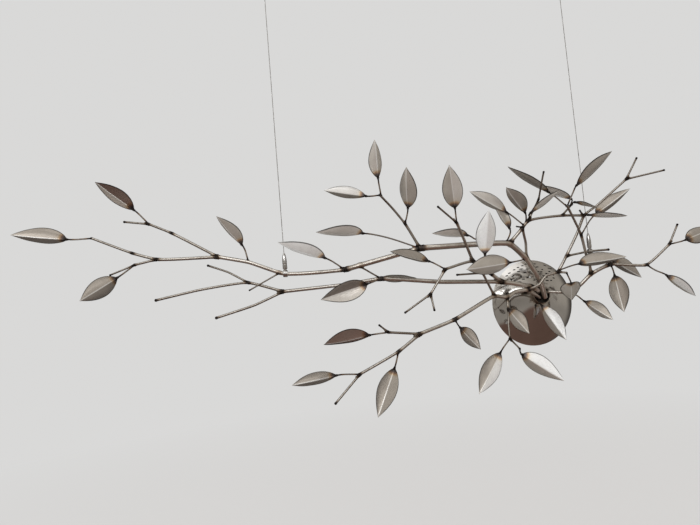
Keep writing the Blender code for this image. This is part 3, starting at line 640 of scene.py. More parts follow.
def shaded(tree, base, factor, stops):
    """Colour that a ramp darkens."""
    return blend(tree, 1.0, base, color_ramp(tree, factor, stops), 'MULTIPLY')


def uneven_polish(tree, shader, grain, low, span, hot):
    """Roughness that follows a pattern and is higher where the metal was hot."""
    rough = arithmetic(tree, 'MULTIPLY_ADD', grain, span, low)
    dulling = arithmetic(tree, 'MULTIPLY', hot, HOT_DULLING)
    feed(tree, arithmetic(tree, 'ADD', rough, dulling, clamp=True), shader.inputs["Roughness"])


# oxide colours over the bare metal, from cool to hot
STRAW = [(0.0, (1.0, 1.0, 1.0)), (0.10, (0.98, 0.95, 0.90)), (0.22, (0.86, 0.68, 0.48)),
         (0.36, (0.52, 0.35, 0.25)), (0.55, (0.26, 0.20, 0.18)), (0.8, (0.12, 0.11, 0.11))]
SOOT = [(0.0, (1.0, 1.0, 1.0)), (0.12, (0.95, 0.92, 0.88)), (0.28, (0.72, 0.63, 0.55)),
        (0.45, (0.42, 0.35, 0.31)), (0.62, (0.22, 0.19, 0.18)), (0.85, (0.12, 0.11, 0.11))]


def heat_tint(tree, metal, colors):
    """The metal's colour under its oxide, and how hot it got, with wandering borders; in the socket's bore
    the same darkening is painted shade.
    """
    wander = arithmetic(tree, 'MULTIPLY_ADD', pattern(tree, 160, 4), 0.5, 0.75)
    hot = arithmetic(tree, 'MULTIPLY', painted(tree, "scorch_and_shade"), wander)
    return shaded(tree, metal, hot, colors), hot


def bough_metal():
    """Ground bar: warm grey with fine stains, heat tint and dark oxide round the welds."""
    material, tree, shader = new_metal("bough_steel", 0.3)
    base = color_ramp(tree, pattern(tree, 22, 5), [
        (0.30, (0.66, 0.625, 0.58)), (0.52, (0.81, 0.78, 0.735)), (0.75, (0.92, 0.90, 0.87))])
    base = shaded(tree, base, painted(tree, "ground"), [(0.0, (0.36, 0.335, 0.31)), (1.0, (1.0, 1.0, 1.0))])
    base = shaded(tree, base, pattern(tree, 75, 6, roughness=0.7), [(0.52, 1.0), (0.72, 0.68)])
    color, hot = heat_tint(tree, base, SOOT)
    tree.links.new(color, shader.inputs["Base Color"])
    grain = pattern(tree, 900, 4, roughness=0.6)
    uneven_polish(tree, shader, grain, 0.20, 0.22, hot)
    bump(tree, shader, pattern(tree, 420, 5, roughness=0.65), 0.0003, 0.35)
    bump(tree, shader, grain, 0.00008, 0.4)
    return material


def leaf_metal():
    """Sanded sheet: warm grey, fine speckle, painted light and shade on each half, a painted highlight on the
    midrib, dark cut edges, amber near the stem.
    """
    material, tree, shader = new_metal("leaf_steel", 0.3)
    # each half's painted light and shade, with a little uneven tone laid over it; brighter halves are also
    # made less metallic
    drift = arithmetic(tree, 'MULTIPLY_ADD', pattern(tree, 26, 4), 0.18, -0.09)
    painted_light_and_tone = arithmetic(tree, 'ADD', painted(tree, "tone"), drift)
    scattering = color_ramp(tree, painted_light_and_tone, [(0.30, 0.58), (0.86, 0.36), (1.0, 0.20)])
    tree.links.new(scattering, shader.inputs["Metallic"])
    base = color_ramp(tree, painted_light_and_tone, [
        (0.0, (0.190, 0.125, 0.105)), (0.12, (0.205, 0.172, 0.148)), (0.25, (0.275, 0.243, 0.214)),
        (0.40, (0.380, 0.344, 0.304)), (0.55, (0.480, 0.440, 0.390)), (0.70, (0.63, 0.588, 0.540)),
        (0.86, (0.88, 0.865, 0.845)), (1.0, (0.98, 0.98, 0.975))])
    base = shaded(tree, base, pattern(tree, 520, 3, roughness=0.7), [(0.34, 0.84), (0.46, 1.0)])
    base = shaded(tree, base, pattern(tree, 90, 6, roughness=0.7), [(0.58, 1.0), (0.76, 0.78)])
    # painted highlight along the midrib, where the crease would catch the light
    midrib_highlight = color_ramp(tree, painted(tree, "rib"), [(0.10, 0.0), (0.70, 0.60)])
    base = blend(tree, midrib_highlight, base, (0.95, 0.945, 0.93))
    color, hot = heat_tint(tree, base, STRAW)
    color = shaded(tree, color, painted(tree, "rim"), [(0.08, 1.0), (0.32, 0.50), (0.55, 0.20), (1.0, 0.10)])
    tree.links.new(color, shader.inputs["Base Color"])
    uneven_polish(tree, shader, pattern(tree, 60, 5, roughness=0.6), 0.20, 0.24, hot)
    bump(tree, shader, pattern(tree, 55, 3), 0.0012, 0.30)
    bump(tree, shader, pattern(tree, 650, 4, roughness=0.65), 0.00012, 0.18)
    return material


def dome_metal():
    """Mirror-polished dome with faint haze and wiping marks."""
    material, tree, shader = new_metal("dome_steel", 0.1)
    base = color_ramp(tree, pattern(tree, 14, 4), [(0.35, (0.51, 0.50, 0.485)), (0.65, (0.62, 0.615, 0.605))])
    color, hot = heat_tint(tree, base, SOOT)
    tree.links.new(color, shader.inputs["Base Color"])
    uneven_polish(tree, shader, pattern(tree, 35, 6, roughness=0.7), 0.03, 0.16, hot)
    bump(tree, shader, pattern(tree, 18, 2), 0.002, 0.05)
    bump(tree, shader, pattern(tree, 700, 3), 0.00005, 0.2)
    return material


def plain_metal(name, dark, light, rough_low, rough_span, grain_scale):
    """Satin metal whose tone and sheen vary a little, with dark oxide where it was welded, and painted shade
    inside the socket's bore.
    """
    material, tree, shader = new_metal(name, rough_low)
    base = color_ramp(tree, pattern(tree, 45, 5), [(0.3, dark), (0.7, light)])
    color, hot = heat_tint(tree, base, SOOT)
    tree.links.new(color, shader.inputs["Base Color"])
    grain = pattern(tree, grain_scale, 4, roughness=0.6)
    uneven_polish(tree, shader, grain, rough_low, rough_span, hot)
    bump(tree, shader, grain, 0.0001, 0.3)
    return material


# ---------------------------------------------------------------- what geometry nodes grow


def start_tree(name, geometry, sizes):
    """New geometry node tree that takes a geometry, named sizes and a metal, and what it was given."""
    tree = bpy.data.node_groups.new(name, 'GeometryNodeTree')
    tree.interface.new_socket(geometry, in_out='INPUT', socket_type='NodeSocketGeometry')
    for label, value in sizes.items():
        kind = 'NodeSocketInt' if isinstance(value, int) else 'NodeSocketFloat'
        size = tree.interface.new_socket(label, in_out='INPUT', socket_type=kind)
        size.default_value = value
        size.min_value = 0
    tree.interface.new_socket("Metal", in_out='INPUT', socket_type='NodeSocketMaterial')
    return tree, node(tree, "NodeGroupInput").outputs


def end_tree(tree, given, grown, label):
    """Hand out what a tree has grown, as real faces with their metal."""
    tree.interface.new_socket(label, in_out='OUTPUT', socket_type='NodeSocketGeometry')
    real = node(tree, "GeometryNodeRealizeInstances", {0: grown})
    metal = node(tree, "GeometryNodeSetMaterial", {"Geometry": real.outputs[0], "Material": given["Metal"]})
    node(tree, "NodeGroupOutput", {label: metal.outputs[0]})
    return tree


def stored(tree, name, kind='FLOAT'):
    """What is stored at every point under a name."""
    return node(tree, "GeometryNodeInputNamedAttribute", {"Name": name}, data_type=kind).outputs["Attribute"]


def stepped_line(tree, lines, step):
    """Curves along the edges of a mesh, in even steps."""
    line = node(tree, "GeometryNodeMeshToCurve", {"Mesh": lines}).outputs[0]
    return node(tree, "GeometryNodeResampleCurve", {"Curve": line, "Length": step}, mode='LENGTH').outputs[0]


def swept(tree, path, sides, radius, **inputs):
    """Round profile swept along curves."""
    profile = node(tree, "GeometryNodeCurvePrimitiveCircle", {"Resolution": sides, "Radius": radius})
    ends = {"Curve": path, "Profile Curve": profile.outputs["Curve"], **inputs}
    return node(tree, "GeometryNodeCurveToMesh", ends).outputs[0]


def grown_on(name, mesh, tree, metal):
    """Plain piece that a geometry node tree grows on a mesh."""
    piece = add_to_scene(name, mesh)
    modifier = piece.modifiers.new(tree.name, 'NODES')
    modifier.node_group = tree
    for item in tree.interface.items_tree:
        if item.name == "Metal":
            modifier[item.identifier] = metal
    piece.data = baked(piece)
    return piece


def build_seam_tree():
    """Geometry nodes: a rippled weld bead along every seam line of a mesh."""
    tree, given = start_tree("weld_seam", "Seams", {
        "Ripple Pitch": 0.0014, "Ripple Depth": 0.16, "Lumps": 0.5})
    steps = stepped_line(tree, given["Seams"], arithmetic(tree, 'MULTIPLY', given["Ripple Pitch"], 0.34))
    travelled = node(tree, "GeometryNodeSplineParameter").outputs["Length"]
    phase = arithmetic(tree, 'DIVIDE', travelled, given["Ripple Pitch"])
    wave = arithmetic(tree, 'SINE', arithmetic(tree, 'MULTIPLY', phase, 2 * math.pi))
    ripple = arithmetic(tree, 'MULTIPLY', wave, given["Ripple Depth"])
    lump = node(tree, "ShaderNodeTexNoise", {"Scale": 210, "Detail": 1}).outputs["Fac"]
    swell = arithmetic(tree, 'MULTIPLY', arithmetic(tree, 'SUBTRACT', lump, 0.5), given["Lumps"])
    share = arithmetic(tree, 'ADD', arithmetic(tree, 'ADD', ripple, swell), 1.0)
    radius = arithmetic(tree, 'MULTIPLY', share, stored(tree, "bead_size"))
    return end_tree(tree, given, swept(tree, steps, 10, 1.0, Scale=radius), "Beads")


def seam_round(start, heading, radius, along, parent_radius):
    """Loop where a rod meets the round surface of its parent."""
    side = heading.orthogonal().normalized()
    across = heading - along * heading.dot(along)
    loop = []
    for spoke in square_ring(Vector(), heading, side, radius, BEAD_SIDES):
        flat = spoke - along * spoke.dot(along)
        a = across.length_squared
        b = flat.dot(across)
        c = flat.length_squared - parent_radius ** 2
        under = b * b - a * c
        rise = (-b + math.sqrt(under)) / a if a > 0.05 and under > 0 else 0.0
        loop.append(start + spoke + heading * min(rise, parent_radius * 3))
    return loop


def bead_shells(name, seams, material):
    """Closed bead shells for a list of (loop of points, bead radius)."""
    mesh = bpy.data.meshes.new(name)
    spots, edges, sizes = [], [], []
    for loop, bead in seams:
        first = len(spots)
        spots += [point * MM for point in loop]
        edges += [(first + k, first + (k + 1) % len(loop)) for k in range(len(loop))]
        sizes += [bead * MM] * len(loop)
    mesh.from_pydata(spots, edges, [])
    paint(mesh, "bead_size", sizes)
    return grown_on(name, mesh, seam_tree, material)


# ---------------------------------------------------------------- boughs

ROD_SIDES = 20
ROD_SPACING = 3.4
ROD_TURN_STEP = 7.0
UNEVEN = 0.025              # share by which a rod's thickness wanders
FILLET = 0.42               # weld metal thickens a twig's foot by this share of its radius
FILLET_REACH = 3.4
WELD_SWELL = 0.22           # a rod is this much thicker in the middle of a weld
END_MELT = 1.25             # the free end of a twig is a small melted ball
END_STEPS = 7               # rings over a rounded end
BEAD_SIDES = 28             # points round a weld bead
SAME_SIZE = 0.25            # stretches whose radii differ by more than this are welded end to end
DARK_BAR = 1.6              # a bar of this radius is darkest, and one of BRIGHT_BAR is ground bright
BRIGHT_BAR = 4.0
SLEEVE_SCORCH = (0.4, 2.8)  # black core beyond the bar and reach of the tint: at an end-to-end weld,
FOOT_SCORCH = (0.8, 3.2)    # at the foot of a twig,
TIP_SCORCH = (0.3, 3.4)     # and at a free end


def end_rings(centre, axis, side, radius, melt):
    """Rings of a rounded end beyond the last ring of a rod."""
    rings = []
    ball = radius * melt
    start = math.acos(min(1, radius / ball))
    for k in range(1, END_STEPS):
        turn = -start + (math.pi / 2 + start) * k / END_STEPS
        spot = centre + axis * (ball * (math.sin(turn) + math.sin(start)))
        rings.append(square_ring(spot, axis, side, ball * math.cos(turn), ROD_SIDES))
    return rings


def round_bar(name, rod, free_end, spots, foot_depth=None):
    """Round bar along a rod, a little uneven, with rounded ends and a thickened welded foot."""
    stations = rod.rings(ROD_SPACING, ROD_TURN_STEP)
    if free_end:
        tip, axis, radius = stations.pop()
        while (tip - stations[-1][0]).length < radius * END_MELT + 0.6:
            stations.pop()
        stations.append((tip - axis * (radius * END_MELT), axis, radius))
    swell = scorch_at(numpy.array([centre for centre, _, _ in stations]), spots)
    rings = []
    for (centre, axis, radius), side, hot in zip(stations, sides_along([s[1] for s in stations]), swell):
        share = 1 + UNEVEN * noise.noise(centre * 0.09) + WELD_SWELL * hot * (0.7 + noise.noise(centre * 0.4))
        if foot_depth is not None:
            beyond = max(0, (centre - rod.joints[0]).length - foot_depth)
            share += FILLET * math.exp(-beyond / FILLET_REACH)
        rings.append(square_ring(centre, axis, side, radius * share, ROD_SIDES))
    rings += end_rings(centre, axis, side, radius, END_MELT if free_end else 1.0)
    bar = loft(name, rings)
    sizes = [radius for _, _, radius in stations]
    sizes += [sizes[-1]] * (len(rings) - len(sizes))
    ground = numpy.clip((numpy.array(sizes) - DARK_BAR) / (BRIGHT_BAR - DARK_BAR), 0, 1)
    paint(bar.data, "ground", numpy.repeat(ground, ROD_SIDES))
    return bar


def sleeve_welds(rod):
    """Centre, direction and radius of every bead where bars of two sizes are welded end to end."""
    found = []
    for number in range(1, len(rod.sizes)):
        if abs(rod.sizes[number] - rod.sizes[number - 1]) > SAME_SIZE:
            along, radius = rod.tangent(number), rod.radius(number)
            found += [(rod.joints[number] + along * shift, along, radius) for shift in sleeve_steps(radius)]
    return found


def sleeve_steps(radius):
    """Where the beads of an end-to-end weld lie along the bar: one on a twig, more on a bough."""
    if radius > 5.5:
        return -5.0, 0.0, 5.0
    return (-1.8, 1.8) if radius > 3.9 else (0.0,)


def plan_boughs():
    """Work out every rod's joints, and note where each one is welded to its parent."""
    feet = {}
    for plan in BOUGHS.values():
        for name, start, diameter, *steps in plan:
            heading = direction(*steps[0][1:3])
            if isinstance(start[0], str):
                place, along, parent_radius = spot_on(start)
                feet[name] = (place, heading, along, parent_radius)
                start = place
            rods[name] = Rod(start, steps, diameter)
            core, reach = SLEEVE_SCORCH
            welds.extend((centre, radius + core, reach) for centre, _, radius in sleeve_welds(rods[name]))
            if name in feet:
                core, reach = FOOT_SCORCH
                welds.append((place + heading * parent_radius * 0.8, rods[name].sizes[0] + core, reach))
    return feet


def has_child_at_end(name):
    """Whether another rod or a leaf springs from the end of a rod."""
    last = len(rods[name].joints) - 1
    starts = [start for plan in BOUGHS.values() for _, start, *_ in plan]
    starts += [on for _, on, *_ in LEAVES if on]
    return any(start[:2] == (name, last) and len(start) == 2 for start in starts)


def foot_seams(rod, place, heading, along, parent_radius):
    """Two beads round the foot of a twig: a full one on the parent and a lighter one above it."""
    bead = 0.6 + 0.34 * rod.sizes[0]
    loop = seam_round(place, heading, rod.sizes[0] * 1.25, along, parent_radius)
    return [(loop, bead), ([point + heading * bead * 1.3 for point in loop], bead * 0.6)]


def build_bough(bough, feet, metal):
    """One bough with its twigs and weld beads as one body."""
    shells, seams, ends = [], [], []
    for name, *_ in BOUGHS[bough]:
        rod = rods[name]
        free = not has_child_at_end(name)
        foot_depth = feet[name][3] if name in feet else None
        shells.append(round_bar(name, rod, free, welds, foot_depth))
        if free:
            core, reach = TIP_SCORCH
            ends.append((rod.joints[-1], core + rod.sizes[-1], reach))
        if name in feet:
            seams += foot_seams(rod, *feet[name])
        for centre, along, radius in sleeve_welds(rod):
            around = square_ring(centre, along, along.orthogonal().normalized(), radius, BEAD_SIDES)
            seams.append((around, 0.3 + 0.10 * radius))
    if seams:
        shells.append(bead_shells(bough + "_beads", seams, metal))
    piece = melted_together(bough, shells)
    paint(piece.data, "scorch_and_shade", scorch_at(points_of(piece.data), welds + ends))
    finished(piece, bough, metal)


# ---------------------------------------------------------------- leaves

LEAF_SHEET = 1.5
LEAF_BOW = 0.035            # rise of the bent midrib, as a share of the leaf's length
LEAF_CUP = 0.085            # hammered hollow of each half, as a share of its width
LEAF_BASE_POWER = 0.75
LEAF_TIP_POWER = 1.05
LEAF_ROWS = 36
BLADE_ROWS = (0.84, 0.64, 0.44, 0.22)   # rows of points between the rim and the crease
RIM_WIDTH = 2.6             # dark burnt band along the cut edge
RIB_WIDTH = 0.8             # half width of the crease, along which a highlight is painted
STEM_RADIUS = 1.6
STEM_SIDES = 14
STEM_TONE = 0.2
STEM_RUN = 2.6              # step between the rings of the stem's end under the blade
STEM_RUN_RINGS = 6
BASE_HALF_WIDTH = 1.7
TIP_HALF_WIDTH = 0.9
RIPPLE = 0.9                # how far the sheet wanders from its true shape
# beads at the blade's base and where a stem goes on from a rod's end: distance along and bead radius
BLADE_BEADS = [(-1.6, 1.0), (0.8, 1.45), (3.4, 1.25)]
END_BEADS = [(0.4, 1.3), (2.6, 0.9)]
# how light each half of a blade is painted: painted reflection and shade, white where a half faces the
# lights, brown where it faces down to the brown floor
PAINTED_HALF_LIGHTS = {"white": 1.0, "bright": 0.86, "pale": 0.70, "grey": 0.55, "dull": 0.40, "dark": 0.25,
            "brown": 0.0}


def half_width(width, t):
    """Half width of a leaf blade at a share t of its length."""
    widest = LEAF_BASE_POWER / (LEAF_BASE_POWER + LEAF_TIP_POWER)
    base = (t / widest) ** LEAF_BASE_POWER
    tip = ((1 - t) / (1 - widest)) ** LEAF_TIP_POWER
    least = BASE_HALF_WIDTH + (TIP_HALF_WIDTH - BASE_HALF_WIDTH) * t
    return max(width / 2 * base * tip, least)


def blade_columns(width, fold):
    """Shares of the half width where the blade has its points, from edge to edge, and half its sheet."""
    sheet = min(LEAF_SHEET / 2, 0.4 * width)
    rim = max(0.75, 1 - RIM_WIDTH / width)
    crease = min(0.4, (sheet * math.tan(math.radians(abs(fold))) + RIB_WIDTH) / width)
    half = [1.0, rim] + [crease + (rim - crease) * share for share in BLADE_ROWS] + [crease]
    return half + [0.0] + [-share for share in reversed(half)], sheet


def blade_ring(centre, frame_axes, fold, width, cup, lift):
    """Points round a folded and cupped blade: over the top from left to right and back under."""
    side, normal = frame_axes
    tilt = math.radians(fold)
    columns, sheet = blade_columns(width, fold)

    def point(share, face):
        if share == 0:
            return centre + normal * (face * sheet / math.cos(tilt))
        hand = 1 if share > 0 else -1
        out = side * (hand * math.cos(tilt)) - normal * math.sin(tilt)
        up = side * (hand * math.sin(tilt)) + normal * math.cos(tilt)
        reach = abs(share)
        thick = sheet * (0.5 if reach == 1 else 1)
        rise = cup * width * 4 * reach * (1 - reach) + lift(share) + face * thick
        return centre + out * (width * reach) + up * rise

    return [point(share, 1) for share in columns] + [point(share, -1) for share in reversed(columns)]


def blade_shell(name, base, axis, frame_axes, size, fold, painted_light_and_tone):
    """Leaf blade: a folded, cupped sheet with painted light and shade on each half, a painted highlight on
    its midrib, dark edges and pointed ends.
    """
    length, width = LEAF_SIZES[size]
    hand = 1 if fold > 0 else -1
    crest = frame_axes[1] * (LEAF_BOW * length * hand)
    seed = sum(ord(letter) for letter in name)
    rings = []
    for k in range(LEAF_ROWS):
        u = k / (LEAF_ROWS - 1)
        t = 0.5 - 0.5 * math.cos(math.pi * u) if u > 0.5 else u * (0.5 + u)
        centre = base + axis * (length * t) + crest * (4 * t * (1 - t))
        ripple = RIPPLE * min(1.0, 4 * t, 4 * (1 - t))

        def lift(share, t=t, ripple=ripple):
            place = Vector((share * 1.3, t * 3.1, seed * 0.37))
            return ripple * noise.noise(place) * min(1, 4 * abs(share))

        rings.append(blade_ring(centre, frame_axes, fold, half_width(width, t), LEAF_CUP * hand, lift))
    blade = loft(name, rings)
    # painted light and shade of each half of the blade
    left, right = (PAINTED_HALF_LIGHTS[word] for word in painted_light_and_tone)
    half = len(rings[0]) // 4
    rim = [1.0] + [0.0] * (2 * half - 1) + [1.0]
    # where the painted midrib highlight goes
    rib = [0.0] * half + [1.0] + [0.0] * half
    tone = [left] * half + [(left + right) / 2] + [right] * half
    for field, values in (("rim", rim), ("rib", rib), ("tone", tone)):
        paint(blade.data, field, numpy.tile(values + values[::-1], LEAF_ROWS))
    return blade


def leaf_axes(axis, roll):
    """Side and normal of a blade that is rolled about its axis."""
    front = (Vector((0, -1, 0)) + axis * axis.y).normalized()
    left = front.cross(axis)
    turn = math.radians(roll)
    normal = front * math.cos(turn) + left * math.sin(turn)
    side = left * math.cos(turn) - front * math.sin(turn)
    return side, normal


def stem_shell(name, path, axis, base, crest):
    """Round stem that runs a little way up under the blade and tapers off there."""
    path.end_direction = axis
    stations = path.rings(5.0, 8.0, arc=1.0)
    rings = []
    for (centre, along, radius), side in zip(stations, sides_along([s[1] for s in stations])):
        rings.append(square_ring(centre, along, side, radius, STEM_SIDES))
    for k in range(1, STEM_RUN_RINGS + 1):
        reach = STEM_RUN * k
        size = STEM_RADIUS * (1 - k / (STEM_RUN_RINGS + 1)) ** 0.5
        centre = base + axis * reach + crest * (reach * 0.12)
        rings.append(square_ring(centre, axis, side, size, STEM_SIDES))
    stem = loft(name, rings)
    paint(stem.data, "tone", numpy.full(len(stem.data.vertices), STEM_TONE))
    return stem


def beads_along(start, heading, side, radius, beads):
    """Round seams square to a line, from (distance along it, bead radius)."""
    return [(square_ring(start + heading * shift, heading, side, radius, 20), bead) for shift, bead in beads]


def build_leaf(name, on, steps, blade, size, fold, roll, painted_light_and_tone, metal):
    """One leaf: stem, blade and weld beads as one body."""
    axis = direction(*blade)
    frame_axes = leaf_axes(axis, roll)
    heading = direction(*steps[0][1:3])
    if on:
        start, along, parent_radius = spot_on(on)
    else:
        outward = direction(LOW_LEAF_HEADING, 0)
        start = Vector((0, -LOW_LEAF_DEPTH, SOCKET_HEIGHT)) + outward * (SOCKET_RADIUS - 0.5)
        along, parent_radius = Vector((0, 1, 0)), 0.5
    path = Rod(start, steps, 2 * STEM_RADIUS)
    base = path.joints[-1]
    crest = frame_axes[1] * (1 if fold > 0 else -1) * LEAF_BOW
    shells = [blade_shell("leaf_" + name, base, axis, frame_axes, size, fold, painted_light_and_tone),
              stem_shell(name + "_stem", path, axis, base, crest)]
    seams = beads_along(base, axis, frame_axes[0], STEM_RADIUS * 0.85, BLADE_BEADS)
    at_end = on and len(on) == 2 and on[1] == len(rods[on[0]].joints) - 1
    if at_end and heading.dot(along) > 0.45:
        seams += beads_along(start, heading, heading.orthogonal().normalized(), STEM_RADIUS * 0.9, END_BEADS)
    else:
        loop = seam_round(start, heading, STEM_RADIUS, along, parent_radius)
        seams += [(loop, 1.15), ([point + heading * 1.5 for point in loop], 0.75)]
    shells.append(bead_shells(name + "_beads", seams, metal))
    piece = melted_together("leaf_" + name, shells)
    heat = scorch_at(points_of(piece.data), [
        (start, parent_radius + 3.0, 4.5), (base + axis * 0.8, 4.2, 7.0)])
    paint(piece.data, "scorch_and_shade", heat)
    finished(piece, "leaf_" + name, metal, sharp=48)


# ---------------------------------------------------------------- wall plate and socket

PLATE_RADIUS = 100.0
DOME_DEPTH = 40.0
DOME_SHEET = 2.0
DOME_RINGS = 48
DOME_SIDES = 144
SOCKET_BORE = 18.0
SOCKET_FRONT = 48.5         # how far the lip stands off the wall
SOCKET_FLOOR = 41.5
SOCKET_SINK = 0.6           # how far the socket's foot sits below the dome's face
FOOT_BEAD = 0.6             # radius of the bead round that foot, which lies on the dome's face
FEET_BEAD = 1.5             # radius of the beads round the boughs' feet in the socket
BALL = (PLATE_RADIUS ** 2 + DOME_DEPTH ** 2) / (2 * DOME_DEPTH)     # radius of the ball the dome is cut from
WALLWARD = Vector((0, 1, 0))
RIGHTWARD = Vector((1, 0, 0))


def dome_depth(x, z, sheet=0):
    """Depth of the dome's outer face in front of the wall, less a thickness of sheet."""
    return math.sqrt((BALL - sheet) ** 2 - x * x - z * z) - (BALL - DOME_DEPTH)


def round_ring(radius, depth, sides, height=0.0):
    """Ring of points round the plate's axis, in front of the wall."""
    ring = []
    for k in range(sides):
        turn = 2 * math.pi * k / sides
        ring.append(Vector((radius * math.cos(turn), -depth, height + radius * math.sin(turn))))
    return ring


SLOT_FIRST_ROW = 53.0       # radius of the lowest row of slots
SLOT_ROW_PITCH = 9.4        # from row to row
SLOT_ROWS = 5
SLOT_PITCH = 10.8           # from slot to slot in a row
SLOT_FAN = 92.0             # degrees covered by the rows
SLOT_MIDDLE = 90.0          # heading of the middle of the rows
SLOT_SKIP = 0.30            # a slot is left out where its own noise is above this
SLOT_STRAY = 5.0            # how far a slot strays from its row
SLOT_LENGTH = 7.4
SLOT_LENGTH_SPREAD = 5.0    # how far their lengths stray from that
SLOT_WIDTH = 3.0
SLOT_DEPTH = 12.0


def build_slot_tree():
    """Geometry nodes: a flat-sided oval cutter on every point, turned and sized by its own numbers."""
    tree, given = start_tree("punched_slots", "Places", {"Depth": SLOT_DEPTH * MM, "Width": SLOT_WIDTH * MM})
    cutter = node(tree, "GeometryNodeMeshCylinder", {"Vertices": 16, "Radius": 0.5, "Depth": 1.0})
    size = node(tree, "ShaderNodeCombineXYZ", {
        "X": stored(tree, "slot_length"), "Y": given["Width"], "Z": given["Depth"]})
    placed = node(tree, "GeometryNodeInstanceOnPoints", {
        "Points": given["Places"], "Instance": cutter.outputs["Mesh"],
        "Rotation": stored(tree, "turn", 'FLOAT_VECTOR'), "Scale": size.outputs[0]})
    return end_tree(tree, given, placed.outputs[0], "Cutters")


def stirred(row, k):
    """Three uneven numbers between -1 and 1 for one slot of a row, the same every time."""
    place = Vector((row * 3.7 + 0.4, k * 2.3 + 0.7, 5.1))
    return Vector([noise.noise(place + Vector((0, 0, 7.3 * number))) for number in range(3)])


def slot_cutters(metal):
    """Cutters for the short slots punched in uneven rows over the top of the dome."""
    places, turns, lengths = [], [], []
    for row in range(SLOT_ROWS):
        radius = SLOT_FIRST_ROW + SLOT_ROW_PITCH * row
        count = round(math.radians(SLOT_FAN) * radius / SLOT_PITCH)
        for k in range(count):
            stir = stirred(row, k)
            if stir.z > SLOT_SKIP:
                continue
            far = radius + SLOT_STRAY * stir.x
            turn = math.radians(SLOT_MIDDLE - SLOT_FAN / 2 + SLOT_FAN * (k + 0.5 + 0.7 * stir.y) / count)
            x, z = far * math.cos(turn), far * math.sin(turn)
            outward = Vector((x, -(dome_depth(x, z) + BALL - DOME_DEPTH), z)).normalized()
            level = Vector((1, 0, 0.5 * stir.y))
            level = (level - outward * level.dot(outward)).normalized()
            basis = Matrix((level, outward.cross(level), outward)).transposed()
            places.append(Vector((x, -dome_depth(x, z), z)) * MM)
            turns += list(basis.to_euler())
            lengths.append((SLOT_LENGTH + SLOT_LENGTH_SPREAD * stir.x) * MM)
    mesh = bpy.data.meshes.new("slot_cutters")
    mesh.from_pydata(places, [], [])
    paint(mesh, "slot_length", lengths)
    layer = mesh.attributes.new("turn", 'FLOAT_VECTOR', 'POINT')
    layer.data.foreach_set("vector", numpy.array(turns, dtype=numpy.float32))
    return grown_on("slot_cutters", mesh, build_slot_tree(), metal)


def dome_rings(edge, sheet=0):
    """Rings of one face of the dome, from its middle to its edge."""
    radii = [0.4 + (edge - 0.4) * k / (DOME_RINGS - 1) for k in range(DOME_RINGS)]
    return [round_ring(radius, dome_depth(radius, 0, sheet), DOME_SIDES) for radius in radii]


def build_dome(metal):
    """Domed cover: a thin polished shell, open at the back, with slots punched through it."""
    rim_inside = math.sqrt((BALL - DOME_SHEET) ** 2 - (BALL - DOME_DEPTH) ** 2)
    piece = loft("wall_dome", dome_rings(PLATE_RADIUS) + dome_rings(rim_inside, DOME_SHEET)[::-1])
    boolean(piece, [slot_cutters(metal)], 'DIFFERENCE')
    centre = Vector((0, -DOME_DEPTH, SOCKET_HEIGHT))
    ring = [(point, 1.5, 4.0) for point in square_ring(centre, WALLWARD, RIGHTWARD, SOCKET_RADIUS, 24)]
    paint(piece.data, "scorch_and_shade", scorch_at(points_of(piece.data), ring) * 0.4)
    finished(piece, "wall_dome", metal)
    follow_ball(piece.data)


def follow_ball(mesh):
    """Keep the dome's polish true: the faces of the ball shade as the ball, cut edges stay flat."""
    centre = Vector((0, BALL - DOME_DEPTH, 0)) * MM
    normals = []
    for face in mesh.polygons:
        outward = (face.center - centre).normalized()
        facing = outward.dot(face.normal)
        for index in face.loop_indices:
            if abs(facing) > 0.97:
                ray = (mesh.vertices[mesh.loops[index].vertex_index].co - centre).normalized()
                normals.append(ray if facing > 0 else -ray)
            else:
                normals.append(face.normal.copy())
    mesh.normals_split_custom_set(normals)


def build_back_plate(metal):
    """The CAD back plate is right as it is and takes mill-finished metal."""
    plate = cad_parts["back_plate"]
    plate.data.materials.clear()
    plate.data.materials.append(metal)


def on_dome(radius, lift, sides):
    """Ring round the socket that follows the face of the dome, lifted off it."""
    ring = round_ring(radius, 0, sides, SOCKET_HEIGHT)
    return [Vector((p.x, -dome_depth(p.x, p.z) - lift, p.z)) for p in ring]


def socket_rings(sides=72):
    """Rings of the socket from its hidden underside over the rounded lip to its floor."""
    rings = [on_dome(SOCKET_RADIUS * 0.5, -SOCKET_SINK, sides), on_dome(SOCKET_RADIUS, -SOCKET_SINK, sides)]
    wall = (SOCKET_RADIUS + SOCKET_BORE) / 2
    lip = (SOCKET_RADIUS - SOCKET_BORE) / 2
    for k in range(9):
        turn = math.pi * k / 8
        depth = SOCKET_FRONT - lip + lip * math.sin(turn)
        rings.append(round_ring(wall + lip * math.cos(turn), depth, sides, SOCKET_HEIGHT))
    rings.append(round_ring(SOCKET_BORE, SOCKET_FLOOR + 1, sides, SOCKET_HEIGHT))
    rings.append(round_ring(SOCKET_BORE - 1, SOCKET_FLOOR, sides, SOCKET_HEIGHT))
    return rings


def socket_shade(points):
    """Painted shade and oxide on the socket: black painted shade inside the bore below the lip, and a faint
    oxide tint outside near its foot.
    """
    reach = numpy.hypot(points[:, 0], points[:, 2] - SOCKET_HEIGHT)
    inside = reach < SOCKET_BORE + 0.5
    below_lip = numpy.clip((SOCKET_FRONT - 1.5 + points[:, 1]) / 3, 0, 1)
    near_foot = numpy.clip((SOCKET_FRONT - 5.5 + points[:, 1]) / 6, 0, 1)
    return numpy.where(inside, 0.95 * below_lip, 0.12 * near_foot)


